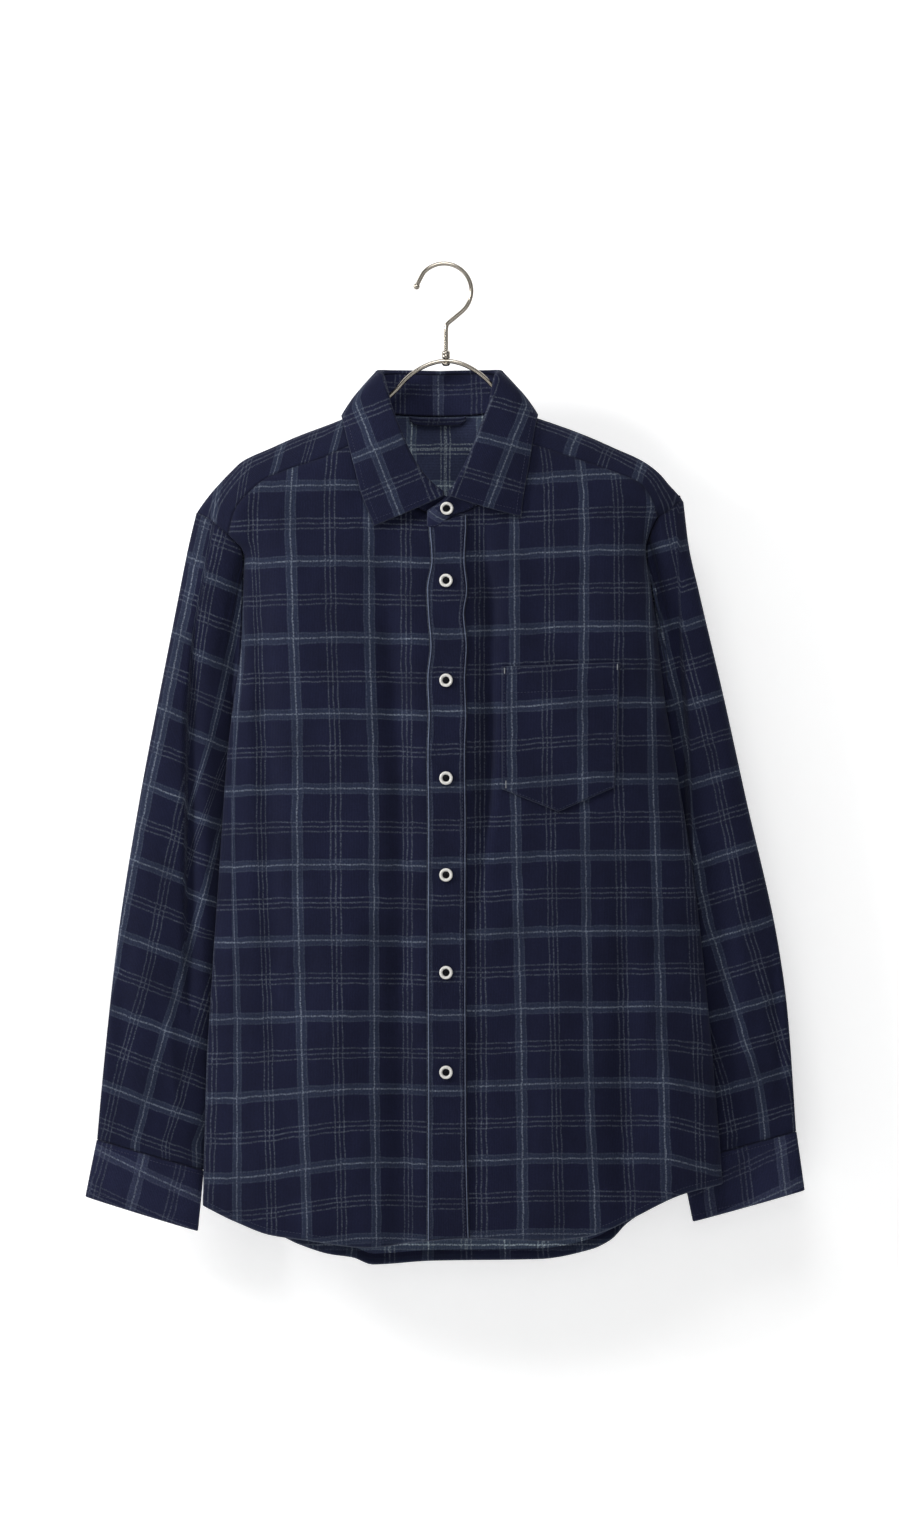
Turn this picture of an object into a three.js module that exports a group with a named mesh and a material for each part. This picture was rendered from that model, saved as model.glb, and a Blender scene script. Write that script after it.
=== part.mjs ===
// A long-sleeved check corduroy shirt, buttoned up on a thin steel hanger.
// Millimetres, +Z up, the front faces -Y. The origin is the inside top of the hook, where a rail
// bears. The wearer's right is -X and the wearer's left is +X.
import * as THREE from 'three';

// ---- Driving dimensions -------------------------------------------------------------------
const CLOTH = 1.6; // one thickness of fine-wale corduroy
const DOUBLE = 2.2; // two thicknesses pressed together: collar, cuffs, bands and pocket
const SEAM = 0.3; // between the edges of two pieces at a seam
const BACK_GAP = SEAM + 0.2; // along the back yoke seam
const WIRE = 4; // hanger wire, diameter
const HOOK_RADIUS = 24.6; // hook bow, to the middle of its wire
const HANGER_END = 172; // half-length of the arms, from their own middle
const HANGER_MID = -6; // the arms lie midway between the shoulders
const NECK_HALF = 68; // half of the neck opening, from shoulder to shoulder
const NECK_SHIFT = -6; // the neck hangs this far towards the wearer's right
const NECK_SIDE_Z = -131.5;
const NECK_FRONT_DROP = 94.5; // from the side of the neck down to the centre front
const NECK_BACK_DROP = 4;
const YOKE_CORNER = 105; // degrees round the neck from the centre back to the yoke's front seam
const BACK_YOKE_Z = -225; // back yoke seam at the centre
const SHOULDER_ROUND = 60; // height over which the cloth opens out below the ridge
const FOLD_FADE = 22; // folds fade in over this height below the yoke's seam
const HEM_CORNER_Z = -835; // where the fronts, back and side seams end
const PLACKET_HALF = 17.5;
const FRONT_EDGE = 16.5; // each front passes the centre line by this much
const LAP = 1.25; // half of the step between the lapped fronts
const LAP_REACH = 70; // the step fades over this width
const BUTTON_RADIUS = 6;
const BUTTON_THICK = 2.8;
const BUTTON_HEIGHTS = [-284, -373, -460.4, -546.8, -634, -723.2];
const STAND_BUTTON_Z = -218.3;
const POCKET = { inner: 50, outer: 155, top: -361, rise: 4, side: 109, point: 21, taper: 4.5 };
const SLEEVE_HEAD = 0.2; // the share of a sleeve that runs from the armhole to its even form
const CUFF_OPENING = 0.74; // where the cuff's two ends meet, round the wrist
const CUFF_LAP = 0.1; // share of the cuff's round that lies double
const CUFF_STEP = 1.5; // half of the step between the cuff's lapped ends
const CUFF_DEPTH = 9;
const STRIP = { from: 0.8, to: 0.992, half: 0.045 }; // of the sleeve's length and round
const STAND_REACH = 194.5; // degrees round the neck to each end of the collar's stand
const LEAF_REACH = 178;
const LEAF_OFF = 3.6; // the leaf's edge lies this far off the cloth under it
const LEAF_ROLL = 2.7; // radius of the roll
const LOOP = { from: -33, to: 18, top: -138.5, bottom: -145 };

// ---- Tables -------------------------------------------------------------------------------
// Ridge of the shoulders, from the wearer's right to the left; it runs on unseen over the neck.
const RIDGE = [
  { x: -240, z: -250 }, { x: -223, z: -222 }, { x: -213, z: -208 }, { x: -204, z: -197.5 },
  { x: -194, z: -187 }, { x: -182, z: -176 }, { x: -158, z: -165 }, { x: -133, z: -154 },
  { x: -105, z: -143.5 }, { x: -74, z: -131.5 }, { x: -40, z: -122 }, { x: -6, z: -118 },
  { x: 28, z: -122 }, { x: 62, z: -131.5 }, { x: 99, z: -143.5 }, { x: 127, z: -154 },
  { x: 152, z: -165 }, { x: 176, z: -176 }, { x: 191, z: -187 }, { x: 200, z: -197.5 },
  { x: 210, z: -208.5 }, { x: 212, z: -211.5 }, { x: 228, z: -240 },
];

// Outline of the body: how far each side reaches from the centre line at each height.
const OUTLINE = [
  { z: -130, right: 234, left: 224 }, { z: -200, right: 233, left: 223 },
  { z: -212, right: 231, left: 221 }, { z: -217, right: 229, left: 215 },
  { z: -222, right: 226, left: 203 }, { z: -226, right: 222.5, left: 196.5 },
  { z: -233, right: 216.5, left: 188.5 }, { z: -242, right: 204, left: 182.5 },
  { z: -248, right: 194.7, left: 180 }, { z: -254, right: 185.5, left: 179 },
  { z: -263, right: 181, left: 179.5 }, { z: -290, right: 181.5, left: 184 },
  { z: -345, right: 183.5, left: 190.5 }, { z: -396, right: 191, left: 197 },
  { z: -446, right: 196.5, left: 205.5 }, { z: -540, right: 203, left: 220.5 },
  { z: -629, right: 209, left: 231 }, { z: -731, right: 215, left: 240.5 },
  { z: -838, right: 217.5, left: 248 }, { z: -905, right: 218, left: 249 },
];

// How far the cloth stands in front of and behind the hanger at the middle of the body, and how
// square its section is towards the sides: the higher the power, the squarer.
const DEPTH = [
  { z: -118, front: 14, back: 22, frontPower: 3.2, backPower: 4 },
  { z: -165, front: 22, back: 24, frontPower: 3.2, backPower: 4 },
  { z: -222, front: 29.5, back: 27, frontPower: 3.2, backPower: 4 },
  { z: -242, front: 31, back: 27, frontPower: 5, backPower: 4.6 },
  { z: -263, front: 32.5, back: 27, frontPower: 8, backPower: 5.5 },
  { z: -345, front: 37, back: 27, frontPower: 7, backPower: 5.5 },
  { z: -400, front: 37.6, back: 25.8, frontPower: 5, backPower: 4 },
  { z: -440, front: 37.8, back: 25, frontPower: 4, backPower: 4 },
  { z: -540, front: 38, back: 22, frontPower: 3.2, backPower: 4 },
  { z: -731, front: 35, back: 18, frontPower: 3.2, backPower: 4 },
  { z: -905, front: 31, back: 15, frontPower: 3.2, backPower: 4 },
];

// Drop of the yoke's front seam below the ridge, from the neck out to the armhole.
const YOKE_SEAM = {
  right: [
    { x: 71, drop: 25.2 }, { x: 110, drop: 28 }, { x: 160, drop: 25 }, { x: 176, drop: 31 },
    { x: 190, drop: 38 }, { x: 195.3, drop: 53.6 },
  ],
  left: [
    { x: 59, drop: 25.2 }, { x: 116, drop: 24 }, { x: 146, drop: 21.5 }, { x: 172, drop: 20.5 },
    { x: 184, drop: 28 }, { x: 190, drop: 39.4 },
  ],
};

// Armhole edges, by their way across the body from its middle; a way past the outline goes on
// round the edge, on the other face.
const ARMHOLE = {
  right: [
    { z: -242, front: 195.3, back: 194.4 }, { z: -248, front: 188.9, back: 186.7 },
    { z: -254, front: 182.9, back: 178.5 }, { z: -263, front: 180.7, back: 172.5 },
    { z: -278, front: 181.3, back: 171.3 }, { z: -310, front: 182.3, back: 172.2 },
    { z: -345, front: 183.7, back: 173.5 }, { z: -380, front: 189, back: 181.2 },
    { z: -393, front: 193.5, back: 186.7 },
  ],
  left: [
    { z: -226, front: 190, back: 188.3 }, { z: -233, front: 186, back: 181.5 },
    { z: -242, front: 182, back: 174.5 }, { z: -256, front: 179.2, back: 169.5 },
    { z: -278, front: 182, back: 171.9 }, { z: -310, front: 186.8, back: 176.4 },
    { z: -345, front: 190.8, back: 180.1 }, { z: -378, front: 195.7, back: 187.6 },
    { z: -391, front: 199.6, back: 192.6 },
  ],
};

const SHOULDER_TIP = { right: -223, left: 212 };
// Where the panels end at the side seams, as shares of the outline, and the height below the
// underarm over which they come to it.
const SIDE_SEAM = { front: 0.99998, back: 0.99985 };
const SIDE_SETTLE = { front: 40, back: 80 };

// Shirt-tail hems, from the wearer's right to the left.
const FRONT_HEM = [
  { x: -219, z: -844 }, { x: -186.5, z: -859 }, { x: -157, z: -869.6 }, { x: -122, z: -874.4 },
  { x: -70, z: -880.7 }, { x: -25, z: -875.5 }, { x: 20, z: -872.2 }, { x: 88, z: -874 },
  { x: 124.6, z: -871 }, { x: 145, z: -865 }, { x: 162.5, z: -857 }, { x: 212, z: -833.4 },
  { x: 249, z: -824.8 },
];
const BACK_HEM = [
  { x: -219, z: -843 }, { x: -186, z: -857 }, { x: -154, z: -869.6 }, { x: -133, z: -879.8 },
  { x: -105.7, z: -888.8 }, { x: -84, z: -892 }, { x: -66, z: -898.5 }, { x: -14, z: -895 },
  { x: 84, z: -893.5 }, { x: 131, z: -884.7 }, { x: 149, z: -876 }, { x: 163, z: -861.5 },
  { x: 180, z: -850 }, { x: 212, z: -833.4 }, { x: 249, z: -825 },
];

// Outer line of each sleeve, and its inner line behind the body.
const SLEEVE_OUTER = {
  right: [
    { z: -222, x: 223 }, { z: -251, x: 230 }, { z: -295, x: 239 }, { z: -381, x: 256 },
    { z: -478, x: 274.5 }, { z: -608, x: 295 }, { z: -738, x: 309 }, { z: -786, x: 313.2 },
  ],
  left: [
    { z: -211.5, x: 212 }, { z: -251, x: 217 }, { z: -295, x: 227 }, { z: -381, x: 247.5 },
    { z: -478, x: 269 }, { z: -608, x: 298 }, { z: -673, x: 307 }, { z: -779, x: 314.6 },
  ],
};
const SLEEVE_INNER = {
  right: [
    { z: -393, x: 188.2 }, { z: -396, x: 190.8 }, { z: -402, x: 191.7 }, { z: -462, x: 191.5 },
    { z: -540, x: 194.5 }, { z: -615, x: 200 }, { z: -744, x: 210 }, { z: -813.6, x: 219.2 },
  ],
  left: [
    { z: -391, x: 193.7 }, { z: -394, x: 196.6 }, { z: -400, x: 197.5 }, { z: -440, x: 197 },
    { z: -520, x: 197 }, { z: -600, x: 198 }, { z: -700, x: 205 }, { z: -807, x: 213 },
  ],
};

// Along a sleeve: half its depth, and where its outer and inner lines lie behind the hanger.
const SLEEVE_FORM = {
  right: [
    { along: 0, depth: 8, outer: 0, inner: 6.5 }, { along: 0.04, depth: 9, outer: 0, inner: 9.5 },
    { along: 0.12, depth: 12, outer: 1, inner: 13.5 },
    { along: 0.3, depth: 17, outer: 3, inner: 16.5 },
    { along: 0.5, depth: 18, outer: 5, inner: 18 }, { along: 0.75, depth: 15, outer: 7, inner: 18 },
    { along: 1, depth: 9, outer: 8, inner: 15 },
  ],
  left: [
    { along: 0, depth: 8, outer: 0, inner: 6.5 }, { along: 0.04, depth: 9, outer: 0, inner: 9 },
    { along: 0.12, depth: 11, outer: 1, inner: 14 }, { along: 0.3, depth: 15, outer: 4, inner: 22 },
    { along: 0.5, depth: 16, outer: 9, inner: 28 }, { along: 0.75, depth: 14, outer: 13, inner: 28 },
    { along: 1, depth: 9, outer: 15, inner: 24 },
  ],
};

// Cuffs: top and bottom corners on the outer and inner side.
const CUFF = {
  right: { topOuter: [313.2, -786], topInner: [219.2, -813.6],
    endOuter: [323.4, -837], endInner: [224.4, -868] },
  left: { topOuter: [314.6, -779], topInner: [213, -807],
    endOuter: [322, -831.7], endInner: [223.6, -860] },
};

// Collar, by degrees round the neck from the centre back: the roll line, and the leaf's outer
// edge as its reach from the collar's middle and its signed drop below the ridge (front is -).
const COLLAR = [
  { round: 0, x: 0, y: 18, z: -94.5, mid: -6, reach: 0, edgeMid: -6, drop: 26, tilt: 0 },
  { round: 30, x: 28, y: 16, z: -94, mid: -6, reach: 42, edgeMid: -6, drop: 23, tilt: 0 },
  { round: 60, x: 46, y: 10, z: -94.5, mid: -6, reach: 72, edgeMid: -6, drop: 12, tilt: 0 },
  { round: 78, x: 51, y: 3, z: -96, mid: -6, reach: 83.5, edgeMid: -5.5, drop: 3.5, tilt: 0 },
  { round: 92, x: 49.5, y: -4, z: -99, mid: -6, reach: 86.5, edgeMid: -5.5, drop: -1, tilt: 0 },
  { round: 105, x: 44.5, y: -13, z: -123, mid: -5.5, reach: 85, edgeMid: -5.5, drop: -9, tilt: 0 },
  { round: 120, x: 36, y: -22, z: -147, mid: -5.5, reach: 81.5, edgeMid: -5, drop: -28, tilt: 0 },
  { round: 135, x: 26, y: -29, z: -171, mid: -5, reach: 78, edgeMid: -4, drop: -46, tilt: 1 },
  { round: 150, x: 17.5, y: -33, z: -186, mid: -4, reach: 74, edgeMid: -3, drop: -66, tilt: 3 },
  { round: 165, x: 9.5, y: -35.5, z: -197, mid: -2, reach: 69.5, edgeMid: -1, drop: -84, tilt: 5 },
  { round: 178, x: 1.9, y: -36.5, z: -204, mid: 0, reach: 65.5, edgeMid: 1.5, drop: -100, tilt: 6.5 },
  { round: 198, x: -20, y: -35, z: -210, mid: 0, reach: 65.5, edgeMid: 1.5, drop: -100, tilt: 6.5 },
];

// Folds in the cloth: a soft line from one point to another, with its width and how far it stands
// out (+) or sinks in (-).
const FOLDS = {
  front_right: [
    { x: -171, z: -215, toX: -162, toZ: -480, width: 11, height: -4 },
    { x: -162, z: -420, toX: -156, toZ: -700, width: 14, height: -3 },
    { x: -52, z: -250, toX: -46, toZ: -420, width: 13, height: -3 },
    { x: -42, z: -640, toX: -38, toZ: -890, width: 14, height: -4.5 },
    { x: -104, z: -560, toX: -112, toZ: -890, width: 24, height: 3 },
  ],
  front_left: [
    { x: 33, z: -236, toX: 43, toZ: -330, width: 8, height: -4.5 },
    { x: 43, z: -290, toX: 36, toZ: -500, width: 8, height: -5.5 },
    { x: 162, z: -640, toX: 164, toZ: -880, width: 13, height: -4.5 },
    { x: 198, z: -700, toX: 204, toZ: -860, width: 15, height: 4 },
    { x: 100, z: -560, toX: 92, toZ: -890, width: 24, height: 3 },
  ],
  back: [
    { x: -120, z: -250, toX: -128, toZ: -620, width: 16, height: -4 },
    { x: -52, z: -330, toX: -66, toZ: -890, width: 20, height: 4 },
    { x: 38, z: -260, toX: 52, toZ: -700, width: 18, height: -3.5 },
    { x: 128, z: -280, toX: 150, toZ: -860, width: 18, height: 4 },
  ],
  sleeve_right: [
    { x: -240, z: -320, toX: -236, toZ: -740, width: 7, height: -5 },
    { x: -222, z: -420, toX: -224, toZ: -700, width: 11, height: 2.5 },
    { x: -286, z: -560, toX: -296, toZ: -770, width: 9, height: -2.5 },
  ],
  sleeve_left: [
    { x: 206, z: -250, toX: 226, toZ: -500, width: 8, height: -5 },
    { x: 290, z: -600, toX: 306, toZ: -770, width: 8, height: -3.5 },
    { x: 262, z: -520, toX: 272, toZ: -760, width: 12, height: 2.5 },
  ],
};

// ---- Small helpers ------------------------------------------------------------------------
const radians = THREE.MathUtils.degToRad;
const lerp = THREE.MathUtils.lerp;
const vector = (x, y, z) => new THREE.Vector3(x, y, z);

function smoothStep(value) {
  return THREE.MathUtils.smoothstep(value, 0, 1);
}

// Reads a table as smooth curves that pass through its rows and don't overshoot them.
function reader(table, key) {
  const rows = [...table].sort((a, b) => a[key] - b[key]);
  const slopes = {};
  for (const column of Object.keys(rows[0])) {
    const rise = [];
    for (let i = 1; i < rows.length; i += 1) {
      rise.push((rows[i][column] - rows[i - 1][column]) / (rows[i][key] - rows[i - 1][key]));
    }
    slopes[column] = rows.map((row, i) => {
      const before = rise[Math.max(i - 1, 0)];
      const after = rise[Math.min(i, rise.length - 1)];
      return before * after <= 0 ? 0 : (2 * before * after) / (before + after);
    });
  }
  return (column, value) => {
    const held = THREE.MathUtils.clamp(value, rows[0][key], rows[rows.length - 1][key]);
    let i = 0;
    while (i < rows.length - 2 && rows[i + 1][key] < held) i += 1;
    const span = rows[i + 1][key] - rows[i][key];
    const t = (held - rows[i][key]) / span;
    const ease = t * t * (3 - 2 * t);
    return lerp(rows[i][column], rows[i + 1][column], ease)
      + span * t * (1 - t) * ((1 - t) * slopes[column][i] - t * slopes[column][i + 1]);
  };
}

const readRidge = reader(RIDGE, 'x');
const readOutline = reader(OUTLINE, 'z');
const readYokeSeam = {
  right: reader(YOKE_SEAM.right, 'x'),
  left: reader(YOKE_SEAM.left, 'x'),
};
const readDepth = reader(DEPTH, 'z');
const readCollar = reader(COLLAR, 'round');
const readFrontHem = reader(FRONT_HEM, 'x');
const readBackHem = reader(BACK_HEM, 'x');

const sideOf = (x) => (x < 0 ? 'right' : 'left');
const signOf = (side) => (side === 'right' ? -1 : 1);

// Height of the folds of one piece at a place seen from the front.
function foldHeight(piece, x, z) {
  let height = 0;
  for (const fold of FOLDS[piece]) {
    const run = vector(fold.toX - fold.x, 0, fold.toZ - fold.z);
    const from = vector(x - fold.x, 0, z - fold.z);
    const along = THREE.MathUtils.clamp(from.dot(run) / run.lengthSq(), 0, 1);
    const away = from.sub(run.multiplyScalar(along)).length() / fold.width;
    const fade = Math.sin(Math.PI * lerp(0.12, 0.88, along));
    height += fold.height * fade * Math.exp(-away * away);
  }
  return height;
}

// How far the cloth has opened out at a drop below the shoulder ridge, from 0 to 1.
function opening(x, z) {
  const drop = THREE.MathUtils.clamp((readRidge('z', x) - z) / SHOULDER_ROUND, 0, 1);
  return Math.sqrt(1 - (1 - drop) ** 2);
}

// Folds fade in below the yoke's seam.
function belowSeam(x, z) {
  const seamZ = readRidge('z', x) - readYokeSeam[sideOf(x)]('drop', Math.abs(x));
  return smoothStep((seamZ - z) / FOLD_FADE);
}

// The cloth's y at a place of the body, for its front (face -1) or its back (face 1).
function bodyY(x, z, face, piece) {
  const reach = readOutline(sideOf(x), z);
  const across = Math.min(Math.abs(x) / reach, 1);
  const power = readDepth(face < 0 ? 'frontPower' : 'backPower', z);
  const round = Math.sqrt(1 - across ** power);
  const depth = readDepth(face < 0 ? 'front' : 'back', z);
  const lift = piece ? foldHeight(piece, x, z) * round * belowSeam(x, z) : 0;
  return face * (depth * round * opening(x, z) + lift);
}

// A point of the body by its way across from the middle; past the outline the way goes on round
// the edge, on the other face.
function bodyPoint(way, z, face, piece) {
  const side = sideOf(way);
  const reach = readOutline(side, z);
  const past = Math.abs(way) > reach;
  const x = signOf(side) * (past ? 2 * reach - Math.abs(way) : Math.abs(way));
  return vector(x, bodyY(x, z, past ? -face : face, past ? null : piece), z);
}

// A point over the shoulders by its signed drop below the ridge: front is -, back is +.
function shoulderPoint(x, drop) {
  const z = readRidge('z', x) - Math.abs(drop);
  return vector(x, drop === 0 ? 0 : bodyY(x, z, Math.sign(drop), null), z);
}

// The neck seam, by degrees round from the centre back; past 180 it laps over the centre front.
function neckPoint(round) {
  const angle = radians(round);
  const shift = NECK_SHIFT * Math.min(1, 1 + Math.cos(angle));
  const x = NECK_HALF * Math.sin(angle) + shift;
  const front = Math.cos(angle) < 0;
  const fall = front ? -NECK_FRONT_DROP * Math.cos(angle) : NECK_BACK_DROP * Math.cos(angle) ** 2;
  const z = NECK_SIDE_Z - fall;
  return vector(x, bodyY(x, Math.min(z, readRidge('z', x)), front ? -1 : 1, null), z);
}

// A four-sided patch between its edges; each edge is a function of 0 to 1 and gives two numbers.
function patch(edges, columns, rows) {
  const { top, bottom, start, end } = edges;
  const grid = [];
  for (const v of rows) {
    const line = [];
    for (const u of columns) {
      line.push([0, 1].map((k) => (1 - v) * top(u)[k] + v * bottom(u)[k]
        + (1 - u) * start(v)[k] + u * end(v)[k]
        - (1 - u) * (1 - v) * top(0)[k] - u * (1 - v) * top(1)[k]
        - (1 - u) * v * bottom(0)[k] - u * v * bottom(1)[k]));
    }
    grid.push(line);
  }
  return grid;
}

const steps = (count) => Array.from({ length: count + 1 }, (_, i) => i / count);

// A closed wall of even thickness about a grid of points. A ring's columns run right round.
function wall(grid, thickness, ring = false) {
  const rows = grid.length;
  const columns = grid[0].length;
  const at = (j, i) => grid[j][ring ? (i + columns) % columns : i];
  const outer = [];
  const inner = [];
  for (let j = 0; j < rows; j += 1) {
    for (let i = 0; i < columns; i += 1) {
      const beside = ring ? [i - 1, i + 1] : [Math.max(i - 1, 0), Math.min(i + 1, columns - 1)];
      const across = at(j, beside[1]).clone().sub(at(j, beside[0]));
      const down = at(Math.min(j + 1, rows - 1), i).clone().sub(at(Math.max(j - 1, 0), i));
      const normal = at(j, i).normal ?? across.cross(down).normalize();
      outer.push(at(j, i).clone().addScaledVector(normal, thickness / 2));
      inner.push(at(j, i).clone().addScaledVector(normal, -thickness / 2));
    }
  }
  const points = [...outer, ...inner];
  const below = outer.length;
  const index = [];
  const quad = (a, b, c, d) => index.push(a, b, c, a, c, d);
  const place = (j, i) => j * columns + (i % columns);
  const lastColumn = ring ? columns : columns - 1;
  for (let j = 0; j < rows - 1; j += 1) {
    for (let i = 0; i < lastColumn; i += 1) {
      const [a, b, c, d] = [place(j, i), place(j, i + 1), place(j + 1, i + 1), place(j + 1, i)];
      quad(a, b, c, d);
      quad(a + below, d + below, c + below, b + below);
    }
  }
  for (let i = 0; i < lastColumn; i += 1) {
    const [a, b] = [place(0, i), place(0, i + 1)];
    const [c, d] = [place(rows - 1, i), place(rows - 1, i + 1)];
    quad(a, a + below, b + below, b);
    quad(c, d, d + below, c + below);
  }
  for (let j = 0; j < rows - 1 && !ring; j += 1) {
    const [a, b] = [place(j, 0), place(j + 1, 0)];
    const [c, d] = [place(j, columns - 1), place(j + 1, columns - 1)];
    quad(a, b, b + below, a + below);
    quad(c, c + below, d + below, d);
  }
  return solid(points, index);
}

// A mesh from points and triangles, turned so that its faces point out.
function solid(points, index) {
  let volume = 0;
  for (let k = 0; k < index.length; k += 3) {
    const [a, b, c] = [points[index[k]], points[index[k + 1]], points[index[k + 2]]];
    volume += a.dot(b.clone().cross(c));
  }
  const geometry = new THREE.BufferGeometry();
  geometry.setAttribute('position', new THREE.Float32BufferAttribute(
    points.flatMap((point) => point.toArray()), 3));
  geometry.setIndex(volume > 0 ? index : [...index].reverse());
  geometry.computeVertexNormals();
  return geometry;
}

// Points of a surface over a grid of its two numbers, each with the surface's own normal.
function onSurface(grid, pointAt, nudgeA, nudgeB) {
  return grid.map((line) => line.map(([a, b]) => {
    const point = pointAt(a, b);
    const across = pointAt(a + nudgeA, b).sub(pointAt(a - nudgeA, b));
    const down = pointAt(a, b + nudgeB).sub(pointAt(a, b - nudgeB));
    point.normal = across.cross(down).normalize();
    return point;
  }));
}

// Moves each point of a grid out along the cloth's own normal, away from the garment's middle.
function lifted(pointAt, u, v, distance) {
  const nudge = 0.5;
  const across = pointAt(u + nudge, v).sub(pointAt(u - nudge, v));
  const down = pointAt(u, v - nudge).sub(pointAt(u, v + nudge));
  const normal = across.cross(down).normalize();
  const point = pointAt(u, v);
  if (normal.y * point.y < 0) normal.negate();
  return point.addScaledVector(normal, distance);
}

// ---- Materials and pieces -----------------------------------------------------------------
const corduroy = { color: 0x1d2136, roughness: 0.92, metalness: 0 };
const shell = { color: 0xe9e7e2, roughness: 0.35, metalness: 0 };
const steel = { color: 0xb9b4aa, roughness: 0.3, metalness: 1 };

const shirt = new THREE.Group();

function add(name, geometry, finish) {
  const mesh = new THREE.Mesh(geometry, new THREE.MeshStandardMaterial(finish));
  mesh.name = name;
  shirt.add(mesh);
  return mesh;
}

// ---- Body: two fronts, a back and a yoke --------------------------------------------------
const YOKE_END_Z = { right: ARMHOLE.right[0].z, left: ARMHOLE.left[0].z };
const FIRST_STEP = 0.65; // of an even step between rows, just below the armhole
const CORNER_FADE = 60; // power by which a corner's offset dies away down the armhole
// Both sides of the yoke's front seam meet at these, closer together towards the armhole.
const SEAM_STATIONS = steps(9).map((t) => 1 - (1 - t) ** 1.8);

// Rows of a panel, as shares of its side from the yoke to the hem: they meet the sleeve's rows
// round the armhole, then spread towards the hem.
function sideStations(side, hemZ) {
  const rows = ARMHOLE[side];
  const [first, last] = [rows[0].z, rows[rows.length - 1].z];
  const below = steps(11).slice(1).map((t) => lerp(last, hemZ, t * lerp(FIRST_STEP, 1, t)));
  return [...rows.map((row) => row.z), ...below].map((z) => (z - first) / (hemZ - first));
}

// The step between the lapped fronts: the wearer's left lies over the right.
function lapStep(side, x) {
  const fade = smoothStep(1 - Math.max(Math.abs(x) - FRONT_EDGE, 0) / LAP_REACH);
  return (side === 'left' ? -LAP : LAP) * fade;
}

function frontPoint(side, way, z) {
  const point = bodyPoint(way, z, -1, `front_${side}`);
  point.y += lapStep(side, point.x);
  return point;
}

function yokeSeam(side, t) {
  const rows = YOKE_SEAM[side];
  const sign = signOf(side);
  const corner = neckPoint(sign * YOKE_CORNER);
  const cornerDrop = readRidge('z', corner.x) - corner.z;
  const readSeam = readYokeSeam[side];
  const reach = lerp(Math.abs(corner.x), rows[rows.length - 1].x, t);
  const drop = readSeam('drop', reach) + (1 - t) ** 4 * (cornerDrop - readSeam('drop', reach));
  return { x: sign * reach, drop };
}

// The front's edge along the yoke's seam: a gap below it, square to it.
function belowYoke(side, t) {
  const sign = signOf(side);
  const place = (share) => {
    const { x, drop } = yokeSeam(side, share);
    return vector(x, 0, readRidge('z', x) - drop);
  };
  const run = place(Math.min(t + 0.02, 1)).sub(place(Math.max(t - 0.02, 0))).normalize();
  const gap = SEAM + 0.1;
  return place(t).add(vector(sign * run.z * gap, 0, -sign * run.x * gap));
}

// An armhole edge then the side seam, from the yoke down to the hem.
function sideEdge(side, column, corner, hemZ) {
  const sign = signOf(side);
  const rows = ARMHOLE[side];
  const readArmhole = reader(rows, 'z');
  const underarm = rows[rows.length - 1].z;
  const offset = [corner[0] - sign * rows[0][column], corner[1] - rows[0].z];
  return (v) => {
    const z = lerp(rows[0].z, hemZ, v);
    const settle = smoothStep((underarm - z) / SIDE_SETTLE[column]);
    const seam = readOutline(side, z) * SIDE_SEAM[column];
    const way = z >= underarm ? readArmhole(column, z)
      : seam + (rows[rows.length - 1][column] - readOutline(side, underarm)) * (1 - settle);
    const near = (1 - v) ** CORNER_FADE;
    return [sign * way + offset[0] * near, z + offset[1] * near];
  };
}

function frontPanel(side) {
  const sign = signOf(side);
  const neckShare = 0.42;
  const lapRound = THREE.MathUtils.radToDeg(Math.asin(FRONT_EDGE / NECK_HALF));
  const top = (u) => {
    if (u <= neckShare) {
      const round = lerp(180 + lapRound, YOKE_CORNER, u / neckShare);
      const point = neckPoint(sign * round);
      return [point.x, point.z - lerp(0.2, 0.45, u / neckShare)];
    }
    const seam = belowYoke(side, (u - neckShare) / (1 - neckShare));
    return [seam.x, seam.z];
  };
  const corner = sign * readOutline(side, HEM_CORNER_Z) * SIDE_SEAM.front;
  const bottom = (u) => {
    const x = lerp(-sign * FRONT_EDGE, corner, u);
    return [x, readFrontHem('z', x)];
  };
  const start = (v) => [-sign * FRONT_EDGE, lerp(top(0)[1], bottom(0)[1], v)];
  const end = sideEdge(side, 'front', top(1), bottom(1)[1]);
  const seamColumns = SEAM_STATIONS.slice(1).map((t) => lerp(neckShare, 1, t));
  const columns = [...steps(8).map((u) => neckShare * u), ...seamColumns];
  const grid = patch({ top, bottom, start, end }, columns, sideStations(side, bottom(1)[1]));
  return onSurface(grid, (way, z) => frontPoint(side, way, z), 0.3, 0.6);
}

function backYokeSeam(u) {
  const ends = ['right', 'left'].map((side) => {
    const row = ARMHOLE[side][0];
    return bodyPoint(signOf(side) * row.back, row.z, 1, null);
  });
  const x = lerp(ends[0].x, ends[1].x, u);
  const end = x < 0 ? ends[0] : ends[1];
  return { x, z: lerp(BACK_YOKE_Z, end.z, (x / end.x) ** 2) };
}

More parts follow.
